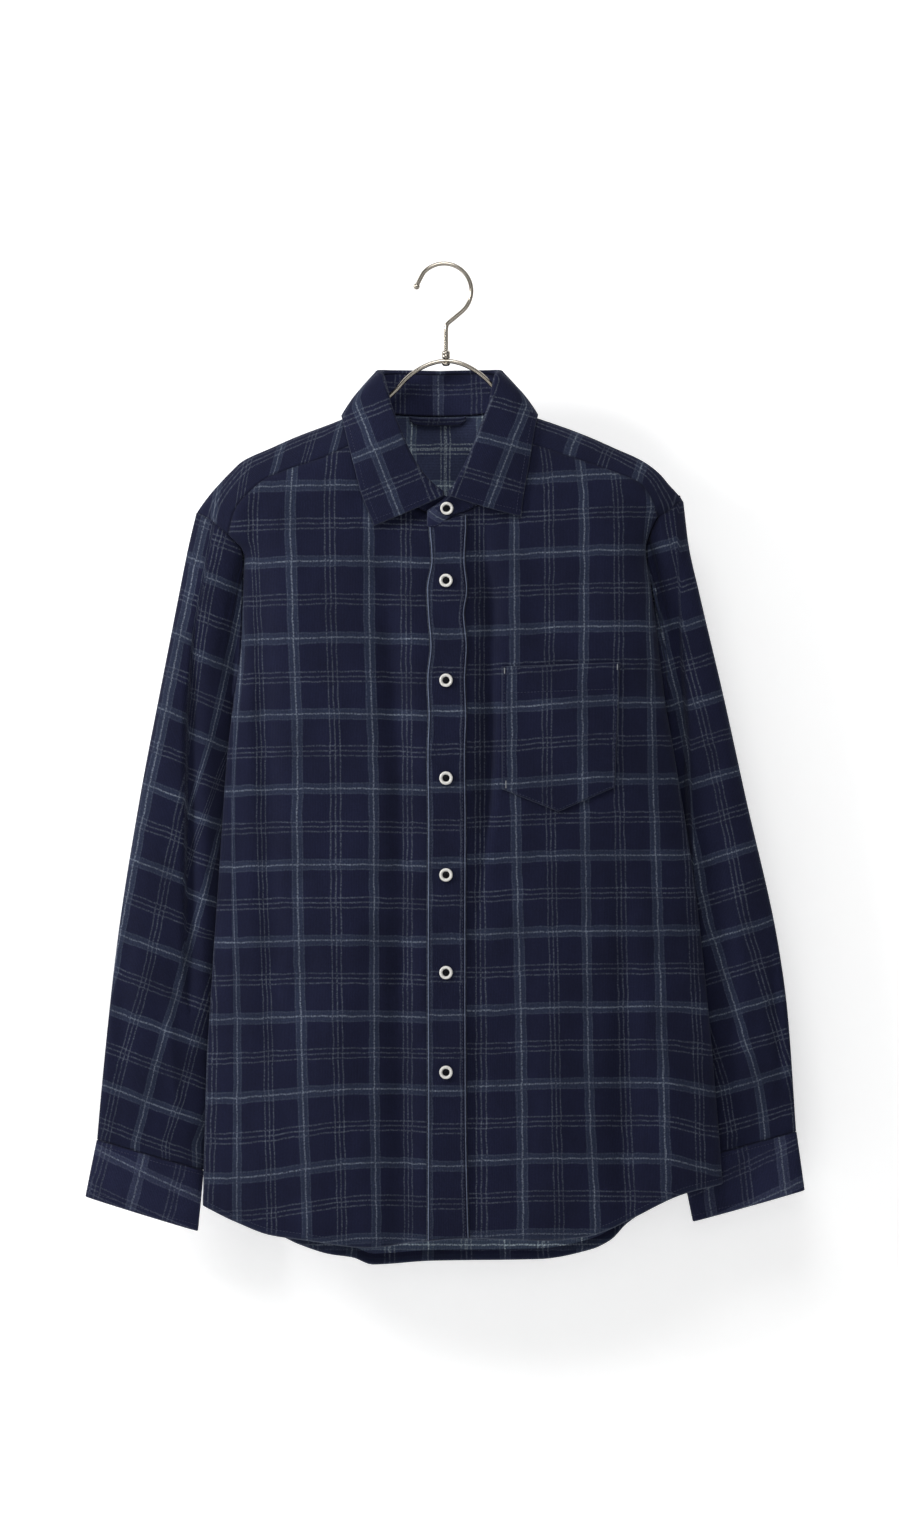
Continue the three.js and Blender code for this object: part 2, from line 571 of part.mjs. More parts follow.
function backPanel() {
  const top = (u) => {
    const { x, z } = backYokeSeam(u);
    return [x, z - BACK_GAP];
  };
  const bottom = (u) => {
    const side = u < 0.5 ? 'right' : 'left';
    const x = (2 * u - 1) * readOutline(side, HEM_CORNER_Z) * SIDE_SEAM.back;
    return [x, readBackHem('z', x)];
  };
  const start = sideEdge('right', 'back', top(0), bottom(0)[1]);
  const end = sideEdge('left', 'back', top(1), bottom(1)[1]);
  const rows = sideStations('right', bottom(0)[1]);
  const columns = steps(24).map((t) => (1 + Math.sin(radians(180 * t - 90))) / 2);
  const grid = patch({ top, bottom, start, end }, columns, rows);
  return onSurface(grid, (way, z) => bodyPoint(way, z, 1, 'back'), 0.3, 0.6);
}

// Rows of the yoke from its front seam to its back seam; one runs along the ridge.
const RIDGE_SHARE = 0.493;
const YOKE_ROWS = [...steps(4).map((t) => RIDGE_SHARE * t),
  ...steps(5).slice(1).map((t) => lerp(RIDGE_SHARE, 1, t))];

// The yoke's grid is set out in x and the signed root of the drop, which spaces its rows evenly
// over the round of the shoulder.
const rootOf = (drop) => Math.sign(drop) * Math.sqrt(Math.abs(drop));

function yokeEnd(side, column) {
  const row = ARMHOLE[side][0];
  const point = bodyPoint(signOf(side) * row[column], row.z, column === 'front' ? -1 : 1, null);
  const drop = readRidge('z', point.x) - row.z;
  return [point.x, column === 'front' ? -Math.sqrt(drop) : Math.sqrt(drop)];
}

// The shoulder's armhole edge from the front seam over the tip to the back seam.
function yokeSide(side) {
  const [front, back] = [yokeEnd(side, 'front'), yokeEnd(side, 'back')];
  return (v) => {
    const root = lerp(front[1], back[1], v);
    const near = root < 0 ? front : back;
    return [lerp(SHOULDER_TIP[side], near[0], (root / near[1]) ** 2), root];
  };
}

function yokePanel() {
  const seamShare = 0.36;
  const top = (u) => {
    if (u < seamShare || u > 1 - seamShare) {
      const side = u < 0.5 ? 'right' : 'left';
      const seam = yokeSeam(side, 1 - Math.min(u, 1 - u) / seamShare);
      return [seam.x, -Math.sqrt(seam.drop)];
    }
    const round = lerp(-YOKE_CORNER, YOKE_CORNER, (u - seamShare) / (1 - 2 * seamShare));
    const point = neckPoint(round);
    const drop = Math.max(readRidge('z', point.x) - point.z, 0);
    return [point.x, Math.cos(radians(round)) < 0 ? -Math.sqrt(drop) : Math.sqrt(drop)];
  };
  const bottom = (u) => {
    const { x, z } = backYokeSeam(u);
    return [x, Math.sqrt(readRidge('z', x) - z)];
  };
  const seamColumns = SEAM_STATIONS.map((t) => (1 - t) * seamShare).reverse();
  const neckColumns = steps(14).slice(1, -1).map((t) => lerp(seamShare, 1 - seamShare, t));
  const columns = [...seamColumns, ...neckColumns, ...[...seamColumns].reverse().map((u) => 1 - u)];
  const edges = { top, bottom, start: yokeSide('right'), end: yokeSide('left') };
  const grid = patch(edges, columns, YOKE_ROWS);
  return onSurface(grid, (x, root) => shoulderPoint(x, root * Math.abs(root)), 0.5, 0.12);
}

// ---- Sleeves and cuffs --------------------------------------------------------------------
// The armhole as a half loop from the shoulder tip to the underarm, over the front or the back,
// through the points where the yoke's and the panels' rows end.
function armholeHalf(side, column) {
  const sign = signOf(side);
  const shoulder = yokeSide(side);
  const face = column === 'front' ? -1 : 1;
  const yokeRows = YOKE_ROWS.filter((v) => (v - RIDGE_SHARE) * face >= 0);
  const fromTip = face < 0 ? yokeRows.reverse() : yokeRows;
  const trail = fromTip.map((v) => {
    const [x, root] = shoulder(v);
    return shoulderPoint(x, root * Math.abs(root));
  });
  for (const row of ARMHOLE[side].slice(1)) {
    trail.push(bodyPoint(sign * row[column], row.z, face, null));
  }
  return new THREE.CatmullRomCurve3(trail);
}

// Ring point of a sleeve: round 0 is its outer line, 0.5 its inner line, the front comes first.
function sleeveSurface(side) {
  const sign = signOf(side);
  const cuff = CUFF[side];
  const readOuter = reader(SLEEVE_OUTER[side], 'z');
  const readInner = reader(SLEEVE_INNER[side], 'z');
  const readForm = reader(SLEEVE_FORM[side], 'along');
  const halves = { front: armholeHalf(side, 'front'), back: armholeHalf(side, 'back') };
  const tip = halves.front.getPoint(0);
  const underarm = halves.front.getPoint(1);
  const lines = (along) => {
    const outerZ = lerp(tip.z, cuff.topOuter[1] + SEAM, along);
    const innerZ = lerp(underarm.z, cuff.topInner[1] + SEAM, along ** 1.5);
    const outerX = sign * readOuter('x', outerZ);
    const innerX = sign * readInner('x', innerZ);
    return {
      outer: vector(outerX, readForm('outer', along), outerZ),
      inner: vector(innerX, readForm('inner', along), innerZ),
    };
  };
  const armhole = (round) => {
    const [half, share] = round <= 0.5 ? [halves.front, round * 2] : [halves.back, 2 - round * 2];
    const edge = half.getPoint(share);
    const below = THREE.MathUtils.clamp((YOKE_END_Z[side] + 3 - edge.z) / 6, 0, 1);
    return edge.add(vector(sign * lerp(0.6, 1.9, below), 0, lerp(-0.6, -0.2, below)));
  };
  const ring = (round, along) => {
    const angle = radians(360 * round);
    const { outer, inner } = lines(along);
    const point = inner.lerp(outer, (1 + Math.cos(angle)) / 2);
    point.y -= readForm('depth', along) * Math.sin(angle);
    return point;
  };
  const foot = lines(SLEEVE_HEAD);
  return (round, along) => {
    const angle = radians(360 * round);
    const face = Math.sin(angle);
    let point = ring(round, along);
    if (along < SLEEVE_HEAD) {
      const share = along / SLEEVE_HEAD;
      const here = lines(along);
      const outerWay = here.outer.sub(tip.clone().lerp(foot.outer, share));
      const innerWay = here.inner.sub(underarm.clone().lerp(foot.inner, share));
      point = armhole(round).lerp(ring(round, SLEEVE_HEAD), share);
      point.addScaledVector(outerWay, ((1 + Math.cos(angle)) / 2) ** 2);
      point.addScaledVector(innerWay, ((1 - Math.cos(angle)) / 2) ** 2);
    }
    const fold = foldHeight(`sleeve_${side}`, point.x, point.z) * smoothStep(along / 0.3);
    point.y -= fold * face * (face > 0 ? 1 : 0.7) * smoothStep((1 - along) / 0.12);
    return point;
  };
}

function sleeve(side) {
  const surface = sleeveSurface(side);
  const panelRows = ARMHOLE[side].length - 1;
  const front = steps(4 + panelRows).map((t) => t / 2);
  const back = steps(5 + panelRows).slice(1, -1).map((t) => (1 + t) / 2);
  const along = steps(16).map((t) => t * (0.7 + 0.3 * t));
  return along.map((t) => [...front, ...back].map((round) => surface(round, t)));
}

function cuffPoint(side, share, down) {
  const sign = signOf(side);
  const { topOuter, topInner, endOuter, endInner } = CUFF[side];
  const form = SLEEVE_FORM[side][SLEEVE_FORM[side].length - 1];
  const round = CUFF_OPENING + share * (1 + CUFF_LAP);
  const angle = radians(360 * round);
  const between = (top, end, y) => vector(lerp(top[0], end[0], down), y, lerp(top[1], end[1], down));
  const outer = between(topOuter, endOuter, form.outer);
  const inner = between(topInner, endInner, form.inner);
  const point = inner.lerp(outer, (1 + Math.cos(angle)) / 2);
  const fade = 1.6 * CUFF_LAP;
  const step = CUFF_STEP * (smoothStep(1 - (1 - share) / fade) - smoothStep(1 - share / fade));
  point.y -= (CUFF_DEPTH + step) * Math.sin(angle);
  point.x = sign * (point.x + step * Math.cos(angle));
  return point;
}

function cuff(side) {
  return steps(2).map((down) => steps(30).map((share) => cuffPoint(side, share, down)));
}

// The strip that binds the sleeve's slit, on the back of the sleeve above the cuff's opening.
function sleevePlacket(side) {
  const surface = sleeveSurface(side);
  const grid = [];
  for (const t of steps(5)) {
    const line = [];
    for (const k of steps(3)) {
      const round = CUFF_OPENING + lerp(-STRIP.half, STRIP.half, k);
      const along = lerp(STRIP.from, STRIP.to, t);
      const here = surface(round, along);
      const across = surface(round + 0.01, along).sub(surface(round - 0.01, along));
      const down = surface(round, along + 0.01).sub(surface(round, along - 0.01));
      const normal = across.cross(down).normalize();
      if (normal.y < 0) normal.negate();
      line.push(here.addScaledVector(normal, CLOTH + SEAM + 0.4));
    }
    grid.push(line);
  }
  return grid;
}

// ---- Collar -------------------------------------------------------------------------------
// The stand's two ends lap at the centre front as the fronts do.
function collarStep(round) {
  const near = smoothStep((Math.abs(round) - 140) / 36);
  return (round > 0 ? -LAP : LAP) * near;
}

// Neck seam, roll line and leaf edge at one place round the collar.
function collarLines(round) {
  const sign = Math.sign(round) || 1;
  const at = Math.abs(round);
  const neck = neckPoint(round);
  neck.y += collarStep(round);
  const roll = vector(
    readCollar('mid', at) + sign * readCollar('x', at),
    readCollar('y', at) + collarStep(round),
    readCollar('z', at),
  );
  const edgeX = readCollar('edgeMid', at) + sign * readCollar('reach', at);
  const drop = readCollar('drop', at) + sign * readCollar('tilt', at);
  const normalAt = (x, signedRoot) => shoulderPoint(x, signedRoot * Math.abs(signedRoot));
  const root = rootOf(drop);
  const across = normalAt(edgeX + 1, root).sub(normalAt(edgeX - 1, root));
  const down = normalAt(edgeX, root + 0.2).sub(normalAt(edgeX, root - 0.2));
  const out = across.cross(down).normalize();
  if (out.y * root < 0 && Math.abs(root) > 1) out.negate();
  if (Math.abs(root) <= 1 && out.z < 0) out.negate();
  const edge = normalAt(edgeX, root).addScaledVector(out, LEAF_OFF);
  const seam = neckPoint(round + 1).sub(neckPoint(round - 1)).normalize();
  const rise = roll.clone().sub(neck);
  rise.addScaledVector(seam, -rise.dot(seam)).normalize();
  neck.addScaledVector(rise, lerp(0.95, 2, Math.sin(radians(at)) ** 2));
  return { neck, roll, edge };
}

function collarFrame(round) {
  const { neck, roll, edge } = collarLines(round);
  const up = roll.clone().sub(neck).normalize();
  const ahead = collarLines(round + 1).roll.sub(collarLines(round - 1).roll);
  const out = up.clone().cross(ahead).normalize();
  const middle = vector(NECK_SHIFT, -10, roll.z);
  if (out.dot(roll.clone().sub(middle)) < 0) out.negate();
  return { neck, roll, edge, up, out };
}

function collarStand() {
  const bendFrom = 176; // the ends round off from here
  const grid = [];
  for (const v of steps(3)) {
    const line = [];
    for (const u of steps(40)) {
      const round = lerp(-STAND_REACH, STAND_REACH, u);
      const { neck, roll, up } = collarFrame(round);
      const past = THREE.MathUtils.clamp((Math.abs(round) - bendFrom) / (STAND_REACH - bendFrom), 0, 1);
      const top = roll.addScaledVector(up, -LEAF_ROLL - 1.95 - 5 * past ** 2);
      const foot = neck.lerp(top, 0.12 * past ** 3);
      line.push(foot.lerp(top, v));
    }
    grid.push(line);
  }
  return grid;
}

function leafPoint(round, share) {
  const { roll, edge, up, out } = collarFrame(round);
  const centre = roll.clone().addScaledVector(up, -LEAF_ROLL).addScaledVector(out, LEAF_ROLL);
  const bend = Math.min(share / 0.3, 1) * 180;
  const onRoll = centre.clone()
    .addScaledVector(out, -LEAF_ROLL * Math.cos(radians(bend)))
    .addScaledVector(up, LEAF_ROLL * Math.sin(radians(bend)));
  const fall = Math.max((share - 0.3) / 0.7, 0);
  const point = onRoll.lerp(edge, fall);
  return point.addScaledVector(out, 3 * Math.sin(Math.PI * fall));
}

function collarLeaf() {
  const shares = [0, 0.1, 0.2, 0.3, 0.5, 0.75, 1];
  const rounds = steps(36).map((u) => lerp(-LEAF_REACH, LEAF_REACH, u));
  return shares.map((share) => rounds.map((round) => leafPoint(round, share)));
}

// ---- What lies on the fronts --------------------------------------------------------------
function onFront(x, z) {
  const point = bodyPoint(x, z, -1, null);
  point.y += lapStep('left', x);
  return point;
}

function placket() {
  const top = neckPoint(180).z - 1.2;
  const centre = 0.5;
  const rows = steps(22);
  return rows.map((v) => steps(3).map((u) => {
    const x = centre + lerp(-PLACKET_HALF, PLACKET_HALF, u);
    const z = lerp(top + 2.5 * smoothStep(x / 40), readFrontHem('z', x) + 0.5, v);
    return lifted(onFront, x, z, (CLOTH + DOUBLE) / 2 + SEAM);
  }));
}

// A patch pocket with a pointed foot; its top edge rises towards the side.
function pocket() {
  const { inner, outer, top, rise, side, point, taper } = POCKET;
  return steps(7).map((v) => steps(8).map((u) => {
    const x = lerp(inner, outer - taper * v, u);
    const head = top + rise * u;
    const foot = top - side + rise * 0.4 * u - point * (1 - Math.abs(2 * u - 1));
    return lifted(onFront, x, lerp(head, foot, v), (CLOTH + DOUBLE) / 2 + SEAM + 0.15);
  }));
}

// A sewn-through button: a rounded rim about a dished middle, on its back face at y = 0.
function buttonShape() {
  const profile = [
    [0, 0], [4.8, 0], [BUTTON_RADIUS, 1.1], [5.2, BUTTON_THICK], [3.6, 2.6], [2.5, 1.5], [0, 1.5],
  ];
  const shape = new THREE.LatheGeometry(profile.map(([r, y]) => new THREE.Vector2(r, y)), 14);
  shape.rotateX(Math.PI / 2);
  return shape;
}

function fixButton(name, seat, normal) {
  const mesh = add(name, buttonShape(), shell);
  mesh.quaternion.setFromUnitVectors(vector(0, 0, 1), normal.clone().normalize());
  mesh.position.copy(seat);
}

function addButtons() {
  BUTTON_HEIGHTS.forEach((z, i) => {
    const off = (CLOTH + DOUBLE) / 2 + SEAM + DOUBLE / 2 + SEAM;
    const seat = lifted(onFront, 0, z, off);
    const behind = lifted(onFront, 0, z, off - 1);
    fixButton(`button_front_${i + 1}`, seat, seat.clone().sub(behind));
  });
  const { neck, roll } = collarFrame(179.5);
  const share = (STAND_BUTTON_Z - neck.z) / (roll.z - neck.z);
  const normal = vector(0, roll.z - neck.z, neck.y - roll.y).multiplyScalar(-1);
  const seat = neck.lerp(roll, share).addScaledVector(normal.normalize(), DOUBLE / 2 + SEAM + 0.2);
  fixButton('button_collar', seat, normal);
  for (const side of ['right', 'left']) {
    const share = 1 - 0.45 * CUFF_LAP;
    const here = cuffPoint(side, share, 0.5);
    const across = cuffPoint(side, share + 0.005, 0.5).sub(cuffPoint(side, share - 0.005, 0.5));
    const down = cuffPoint(side, share, 0.6).sub(cuffPoint(side, share, 0.4));
    const normal = across.cross(down).normalize();
    if (normal.y < 0) normal.negate();
    const seat = here.addScaledVector(normal, DOUBLE / 2 + SEAM + 0.35);
    fixButton(`button_cuff_${side}`, seat, normal);
  }
}

// The hanging loop inside the back neck, a flat strip against the inside of the yoke.
function hangingLoop() {
  const { from, to, top, bottom } = LOOP;
  return steps(2).map((v) => steps(8).map((u) => {
    const x = lerp(from, to, u);
    const slope = 5 * Math.abs(2 * u - 1) ** 6;
    const z = lerp(top + slope * 0.4, bottom + slope, v);
    return vector(x, bodyY(x, z, 1, null) - CLOTH - SEAM - 0.6 - 1.4 * Math.sin(Math.PI * u), z);
  }));
}

// ---- Hanger -------------------------------------------------------------------------------
const HOOK_CENTRE = vector(-1.8, 0, -HOOK_RADIUS + WIRE / 2);

// A round bar: rings set square to a route in the hanger's plane, closed at both ends.
function wire(points, radius, sides, endDome) {
  const rings = [];
  const last = points.length - 1;
  points.forEach((point, i) => {
    const tangent = points[Math.min(i + 1, last)].clone().sub(points[Math.max(i - 1, 0)]).normalize();
    const side = vector(0, 1, 0);
    const up = tangent.clone().cross(side).normalize();
    const ring = [];
    for (let k = 0; k < sides; k += 1) {
      const angle = (2 * Math.PI * k) / sides;
      ring.push(point.clone()
        .addScaledVector(side, radius * Math.cos(angle))
        .addScaledVector(up, radius * Math.sin(angle)));
    }
    rings.push(ring);
  });
  const ends = [points[0].clone(), points[last].clone()];
  ends[0].addScaledVector(points[0].clone().sub(points[1]).normalize(), endDome);
  ends[1].addScaledVector(points[last].clone().sub(points[last - 1]).normalize(), endDome);
  const all = [...rings.flat(), ...ends];
  const index = [];
  for (let i = 0; i < last; i += 1) {
    for (let k = 0; k < sides; k += 1) {
      const [a, b] = [i * sides + k, i * sides + (k + 1) % sides];
      index.push(a, b, b + sides, a, b + sides, a + sides);
    }
  }
  for (let k = 0; k < sides; k += 1) {
    const next = (k + 1) % sides;
    index.push(all.length - 2, next, k);
    index.push(all.length - 1, last * sides + k, last * sides + next);
  }
  return solid(all, index);
}

function hook() {
  const points = [];
  for (let degrees = 178; degrees >= -48; degrees -= 9) {
    const angle = radians(degrees);
    points.push(vector(HOOK_CENTRE.x + HOOK_RADIUS * Math.cos(angle), 0,
      HOOK_CENTRE.z + HOOK_RADIUS * Math.sin(angle)));
  }
  points.push(vector(6.5, 0, -45), vector(1.8, 0, -50.5), vector(0, 0, -56), vector(0, 0, -76.7));
  return wire(points, WIRE / 2, 8, 0);
}

// Half of the arms' route, from the middle of the arch to the end, by reach from the middle.
function armZ(x) {
  const slope = (readRidge('z', x + 2) - readRidge('z', x - 2)) / 4;
  return readRidge('z', x) - (CLOTH / 2 + SEAM + WIRE / 2 + 0.8) * Math.hypot(1, slope);
}

function arms() {
  const arch = [[0, -88], [12, -89.6], [24, -94.4], [35, -102], [44, -111.5], [53, -123],
    [60, -134], [67, -143.6], [76, -149.6]];
  const half = (sign) => {
    const points = arch.map(([x, z]) => vector(sign * x + HANGER_MID * smoothStep((x - 44) / 16), 0, z));
    const start = 92;
    for (const t of steps(8)) {
      const x = sign * lerp(start, HANGER_END, t) + HANGER_MID;
      points.push(vector(x, 0, armZ(x)));
    }
    return points;
  };
  const left = half(1).slice(1);
  const route = new THREE.CatmullRomCurve3([...half(-1).reverse(), ...left], false, 'centripetal');
  return wire(route.getPoints(48), WIRE / 2, 8, 1.2);
}

function ferrule() {
  const profile = [[0, -85.6], [2.6, -85.6], [3.6, -84.4], [3.6, -79], [2.7, -77.2], [0, -77.2]];
  const shape = new THREE.LatheGeometry(profile.map(([r, y]) => new THREE.Vector2(r, y)), 12);
  shape.rotateX(Math.PI / 2);
  return shape;
}

// ---- Assembly -----------------------------------------------------------------------------
for (const side of ['right', 'left']) {
  add(`front_${side}`, wall(frontPanel(side), CLOTH), corduroy);
  add(`sleeve_${side}`, wall(sleeve(side), CLOTH, true), corduroy);
  add(`cuff_${side}`, wall(cuff(side), DOUBLE), corduroy);
  add(`sleeve_placket_${side}`, wall(sleevePlacket(side), CLOTH), corduroy);
}
add('back', wall(backPanel(), CLOTH), corduroy);
add('yoke', wall(yokePanel(), CLOTH), corduroy);
add('collar_stand', wall(collarStand(), DOUBLE), corduroy);
add('collar_leaf', wall(collarLeaf(), DOUBLE), corduroy);
add('placket', wall(placket(), DOUBLE), corduroy);
add('pocket', wall(pocket(), DOUBLE), corduroy);
add('hanging_loop', wall(hangingLoop(), CLOTH), corduroy);
addButtons();
add('hanger_hook', hook(), steel);
add('hanger_ferrule', ferrule(), steel);
add('hanger_arms', arms(), steel);

export default shirt;
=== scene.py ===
# A check corduroy shirt buttoned up on a thin steel hanger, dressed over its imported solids.
# Forms are worked out in millimetres, +Z up and the front facing -Y, and become metres where a
# mesh is made. The wearer's right is -X. Weave coordinates are lengths along the cloth.
import math

import bpy
import numpy as np
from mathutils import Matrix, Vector


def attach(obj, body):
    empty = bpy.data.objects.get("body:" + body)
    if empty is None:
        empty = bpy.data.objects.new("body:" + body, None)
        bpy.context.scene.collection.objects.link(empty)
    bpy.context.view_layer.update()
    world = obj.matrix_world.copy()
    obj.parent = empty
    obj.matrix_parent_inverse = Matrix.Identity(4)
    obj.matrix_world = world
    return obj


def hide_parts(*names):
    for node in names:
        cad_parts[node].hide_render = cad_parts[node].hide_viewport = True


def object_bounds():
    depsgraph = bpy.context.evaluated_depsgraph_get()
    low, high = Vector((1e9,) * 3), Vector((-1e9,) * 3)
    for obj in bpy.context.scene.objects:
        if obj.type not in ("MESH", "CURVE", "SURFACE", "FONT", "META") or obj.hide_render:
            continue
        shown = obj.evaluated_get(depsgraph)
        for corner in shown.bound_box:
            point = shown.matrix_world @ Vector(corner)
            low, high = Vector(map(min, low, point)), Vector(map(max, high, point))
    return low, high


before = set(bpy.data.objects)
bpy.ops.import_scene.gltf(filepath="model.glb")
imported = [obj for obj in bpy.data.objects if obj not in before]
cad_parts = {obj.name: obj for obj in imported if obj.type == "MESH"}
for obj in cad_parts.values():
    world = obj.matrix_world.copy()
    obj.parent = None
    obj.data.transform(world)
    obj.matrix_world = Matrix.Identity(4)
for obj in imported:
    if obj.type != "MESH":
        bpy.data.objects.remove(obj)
packed_low, packed_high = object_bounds()

MM = 0.001
CLOTH = 1.6  # one thickness of fine-wale corduroy
DOUBLE = 2.2  # two thicknesses pressed together
SEAM = 0.3  # between the edges of two pieces
ALLOWANCE = 6.0  # a seam's turned-in edge lies this far under the piece it is sewn to
TUCK = CLOTH + 0.5  # and this far inside it
TURN_ROWS = 5
NO_EDGE = 99.0  # further than any wear or groove reaches
HEM_FRONT, HEM_BACK = 6, 11  # depth of the turned hems that show
WIRE = 4.0  # the hanger's
HOOK_RADIUS = 24.6  # to the middle of its wire
HOOK_CENTRE = np.array([-1.8, 0, -HOOK_RADIUS + WIRE / 2])
HANGER_END = 172  # how far each arm reaches from the hanger's middle
HANGER_MID = -6
NECK_HALF = 68  # half the neck seam's width
NECK_SHIFT = -6  # of the neck's middle, towards the wearer's right
NECK_SIDE_Z = -131.5
NECK_FRONT_DROP = 94.5
NECK_BACK_DROP = 4
YOKE_CORNER = 105  # degrees round the neck, from the centre back to the yoke's front seam
YOKE_RIDGE = 0.493  # the share of the yoke's rows that lies before the ridge
BACK_YOKE_Z = -225
SHOULDER_ROUND = 60  # the drop over which the cloth opens out below the ridge
PLACKET_HALF = 17.5
FRONT_EDGE = 16.5  # how far each front passes the middle
LAP = 1.25  # the left front stands this far out there and the right one this far in
LAP_REACH = 70
SLEEVE_HEAD = 0.2  # the share of a sleeve that blends from the armhole into its own round
CUFF_OPENING = 0.74  # where a cuff's ends meet, as a turn from its outer line
CUFF_LAP = 0.1  # and how far they lap, as a share of the turn
CUFF_DEPTH = 9
STAND_REACH = 194.5  # degrees round the neck to each end of the collar's stand
LEAF_OFF = 3.6  # how far the leaf's edge stands off the shoulders
LEAF_ROLL = 2.7  # the radius that the leaf turns over at
STAND_BUTTON_Z = -218.3
BUTTON_HEIGHTS = [-284, -373, -460.4, -546.8, -634, -723.2]
# The pocket's edges across, its top, its slope, the length of its side and its point's drop.
POCKET = {"inner": 50, "outer": 155, "top": -361, "rise": 4, "side": 109, "point": 21}
REPEAT_ACROSS = 69.3  # the check's repeats
REPEAT_ALONG = 68.4
# Where a band of the check crosses another, by its way across and its height.
BAND_AT = {"right": (-71.1, -198), "left": (61.2, -196), "back": (-14, -196.7),
           "placket": (-17.2, -197)}
LEFT_CLOSER = 1.1  # how much closer together the left front's bands lie
POCKET_SHIFT = (2.5, -3)  # how far the pocket's check lies off the front's
CUFF_CHECK = {"right": (38.5, 75.6), "left": (-6, 43)}  # the check's place at each cuff's corner
# The camera looks straight at the shirt's front, in metres.
CAMERA_DISTANCE = 7.0
VIEW_CENTRE = (0.0036, 0, -0.4442)
VIEW_HEIGHT = 1.3632  # of the picture, at the shirt's front
VIEW_FRONT = 0.015  # how far before the hanger that height is taken
SENSOR = 36
# Lamps: place in metres, width and power.
LAMPS = {"key": ((-0.1, -1.3, 1.1), 1.0, 16), "side": ((-1.7, -0.95, 0.35), 0.6, 26),
         "front": ((0.4, -4.0, 0.3), 1.6, 10)}
STAGE_TONE = (0.9, 0.9, 0.9, 1)
BACKDROP_GLOW = 0.43
WORLD_GLOW = 0.16


# ---- Tables -------------------------------------------------------------------------------
class Curves:
    """A table read as smooth curves through its rows; the first column is the key."""

    def __init__(self, names, rows):
        data = np.array(sorted(rows), float)
        self.key = data[:, 0]
        self.names = names.split()
        rise = np.diff(data, axis=0) / np.diff(self.key)[:, None]
        before, after = np.vstack([rise[:1], rise]), np.vstack([rise, rise[-1:]])
        same = before * after > 0
        slope = np.where(same, 2 * before * after / np.where(same, before + after, 1), 0)
        self.data, self.slope = data, slope

    def __call__(self, name, value):
        column = self.names.index(name)
        held = np.clip(value, self.key[0], self.key[-1])
        i = np.clip(np.searchsorted(self.key, held) - 1, 0, len(self.key) - 2)
        span = self.key[i + 1] - self.key[i]
        t = (held - self.key[i]) / span
        low, high = self.data[i, column], self.data[i + 1, column]
        bend = (1 - t) * self.slope[i, column] - t * self.slope[i + 1, column]
        return low + (high - low) * t * t * (3 - 2 * t) + span * t * (1 - t) * bend


# Ridge of the shoulders; it runs on unseen over the neck.
RIDGE = Curves("x z", [
    (-240, -250), (-223, -222), (-213, -208), (-204, -197.5), (-194, -187), (-182, -176),
    (-158, -165), (-133, -154), (-105, -143.5), (-74, -131.5), (-40, -122), (-6, -118),
    (28, -122), (62, -131.5), (99, -143.5), (127, -154), (152, -165), (176, -176), (191, -187),
    (200, -197.5), (210, -208.5), (212, -211.5), (228, -240),
])
# How far each side of the body reaches at each height.
OUTLINE = Curves("z right left", [
    (-130, 234, 224), (-200, 233, 223), (-212, 231, 221), (-217, 229, 215), (-222, 226, 203),
    (-226, 222.5, 196.5), (-233, 216.5, 188.5), (-242, 204, 182.5), (-248, 194.7, 180),
    (-254, 185.5, 179), (-263, 181, 179.5), (-290, 181.5, 184), (-345, 183.5, 190.5),
    (-396, 191, 197), (-446, 196.5, 205.5), (-540, 203, 220.5), (-629, 209, 231),
    (-731, 215, 240.5), (-838, 217.5, 248), (-905, 218, 249),
])
# The cloth's depth before and behind the hanger, and how square its section is at the sides.
DEPTH = Curves("z front back front_power back_power", [
    (-118, 14, 22, 3.2, 4), (-165, 22, 24, 3.2, 4), (-222, 29.5, 27, 3.2, 4),
    (-242, 31, 27, 5, 4.6), (-263, 32.5, 27, 8, 5.5), (-345, 37, 27, 7, 5.5),
    (-400, 37.6, 25.8, 4.6, 4), (-440, 37.8, 25, 3.4, 4), (-540, 38, 22, 2.6, 4),
    (-731, 35, 18, 2.5, 4), (-905, 31, 15, 2.5, 4),
])
# Drop of the yoke's front seam below the ridge.
YOKE_SEAM = {
    "right": Curves("x drop", [(71, 25.2), (110, 28), (160, 25), (176, 31), (190, 38),
                               (195.3, 53.6)]),
    "left": Curves("x drop", [(59, 25.2), (116, 24), (146, 21.5), (172, 20.5), (184, 28),
                              (190, 39.4)]),
}
# Armhole edges, by their way across the body from its middle, on the front and on the back.
ARMHOLE = {
    "right": Curves("z front back", [
        (-242, 195.3, 194.4), (-248, 188.9, 186.7), (-254, 182.9, 178.5), (-263, 180.7, 172.5),
        (-278, 181.3, 171.3), (-310, 182.3, 172.2), (-345, 183.7, 173.5), (-380, 189, 181.2),
        (-393, 193.5, 186.7)]),
    "left": Curves("z front back", [
        (-226, 190, 188.3), (-233, 186, 181.5), (-242, 182, 174.5), (-256, 179.2, 169.5),
        (-278, 182, 171.9), (-310, 186.8, 176.4), (-345, 190.8, 180.1), (-378, 195.7, 187.6),
        (-391, 199.6, 192.6)]),
}
SHOULDER_TIP = {"right": -223, "left": 212}
SIDE_SEAM = {"front": 0.99998, "back": 0.99985}  # where the panels end, as shares of the outline
SIDE_SETTLE = {"front": 40, "back": 80}  # below the underarm the panels come to the side seam
HEM_CORNER_Z = -835
BACK_GAP = 0.5
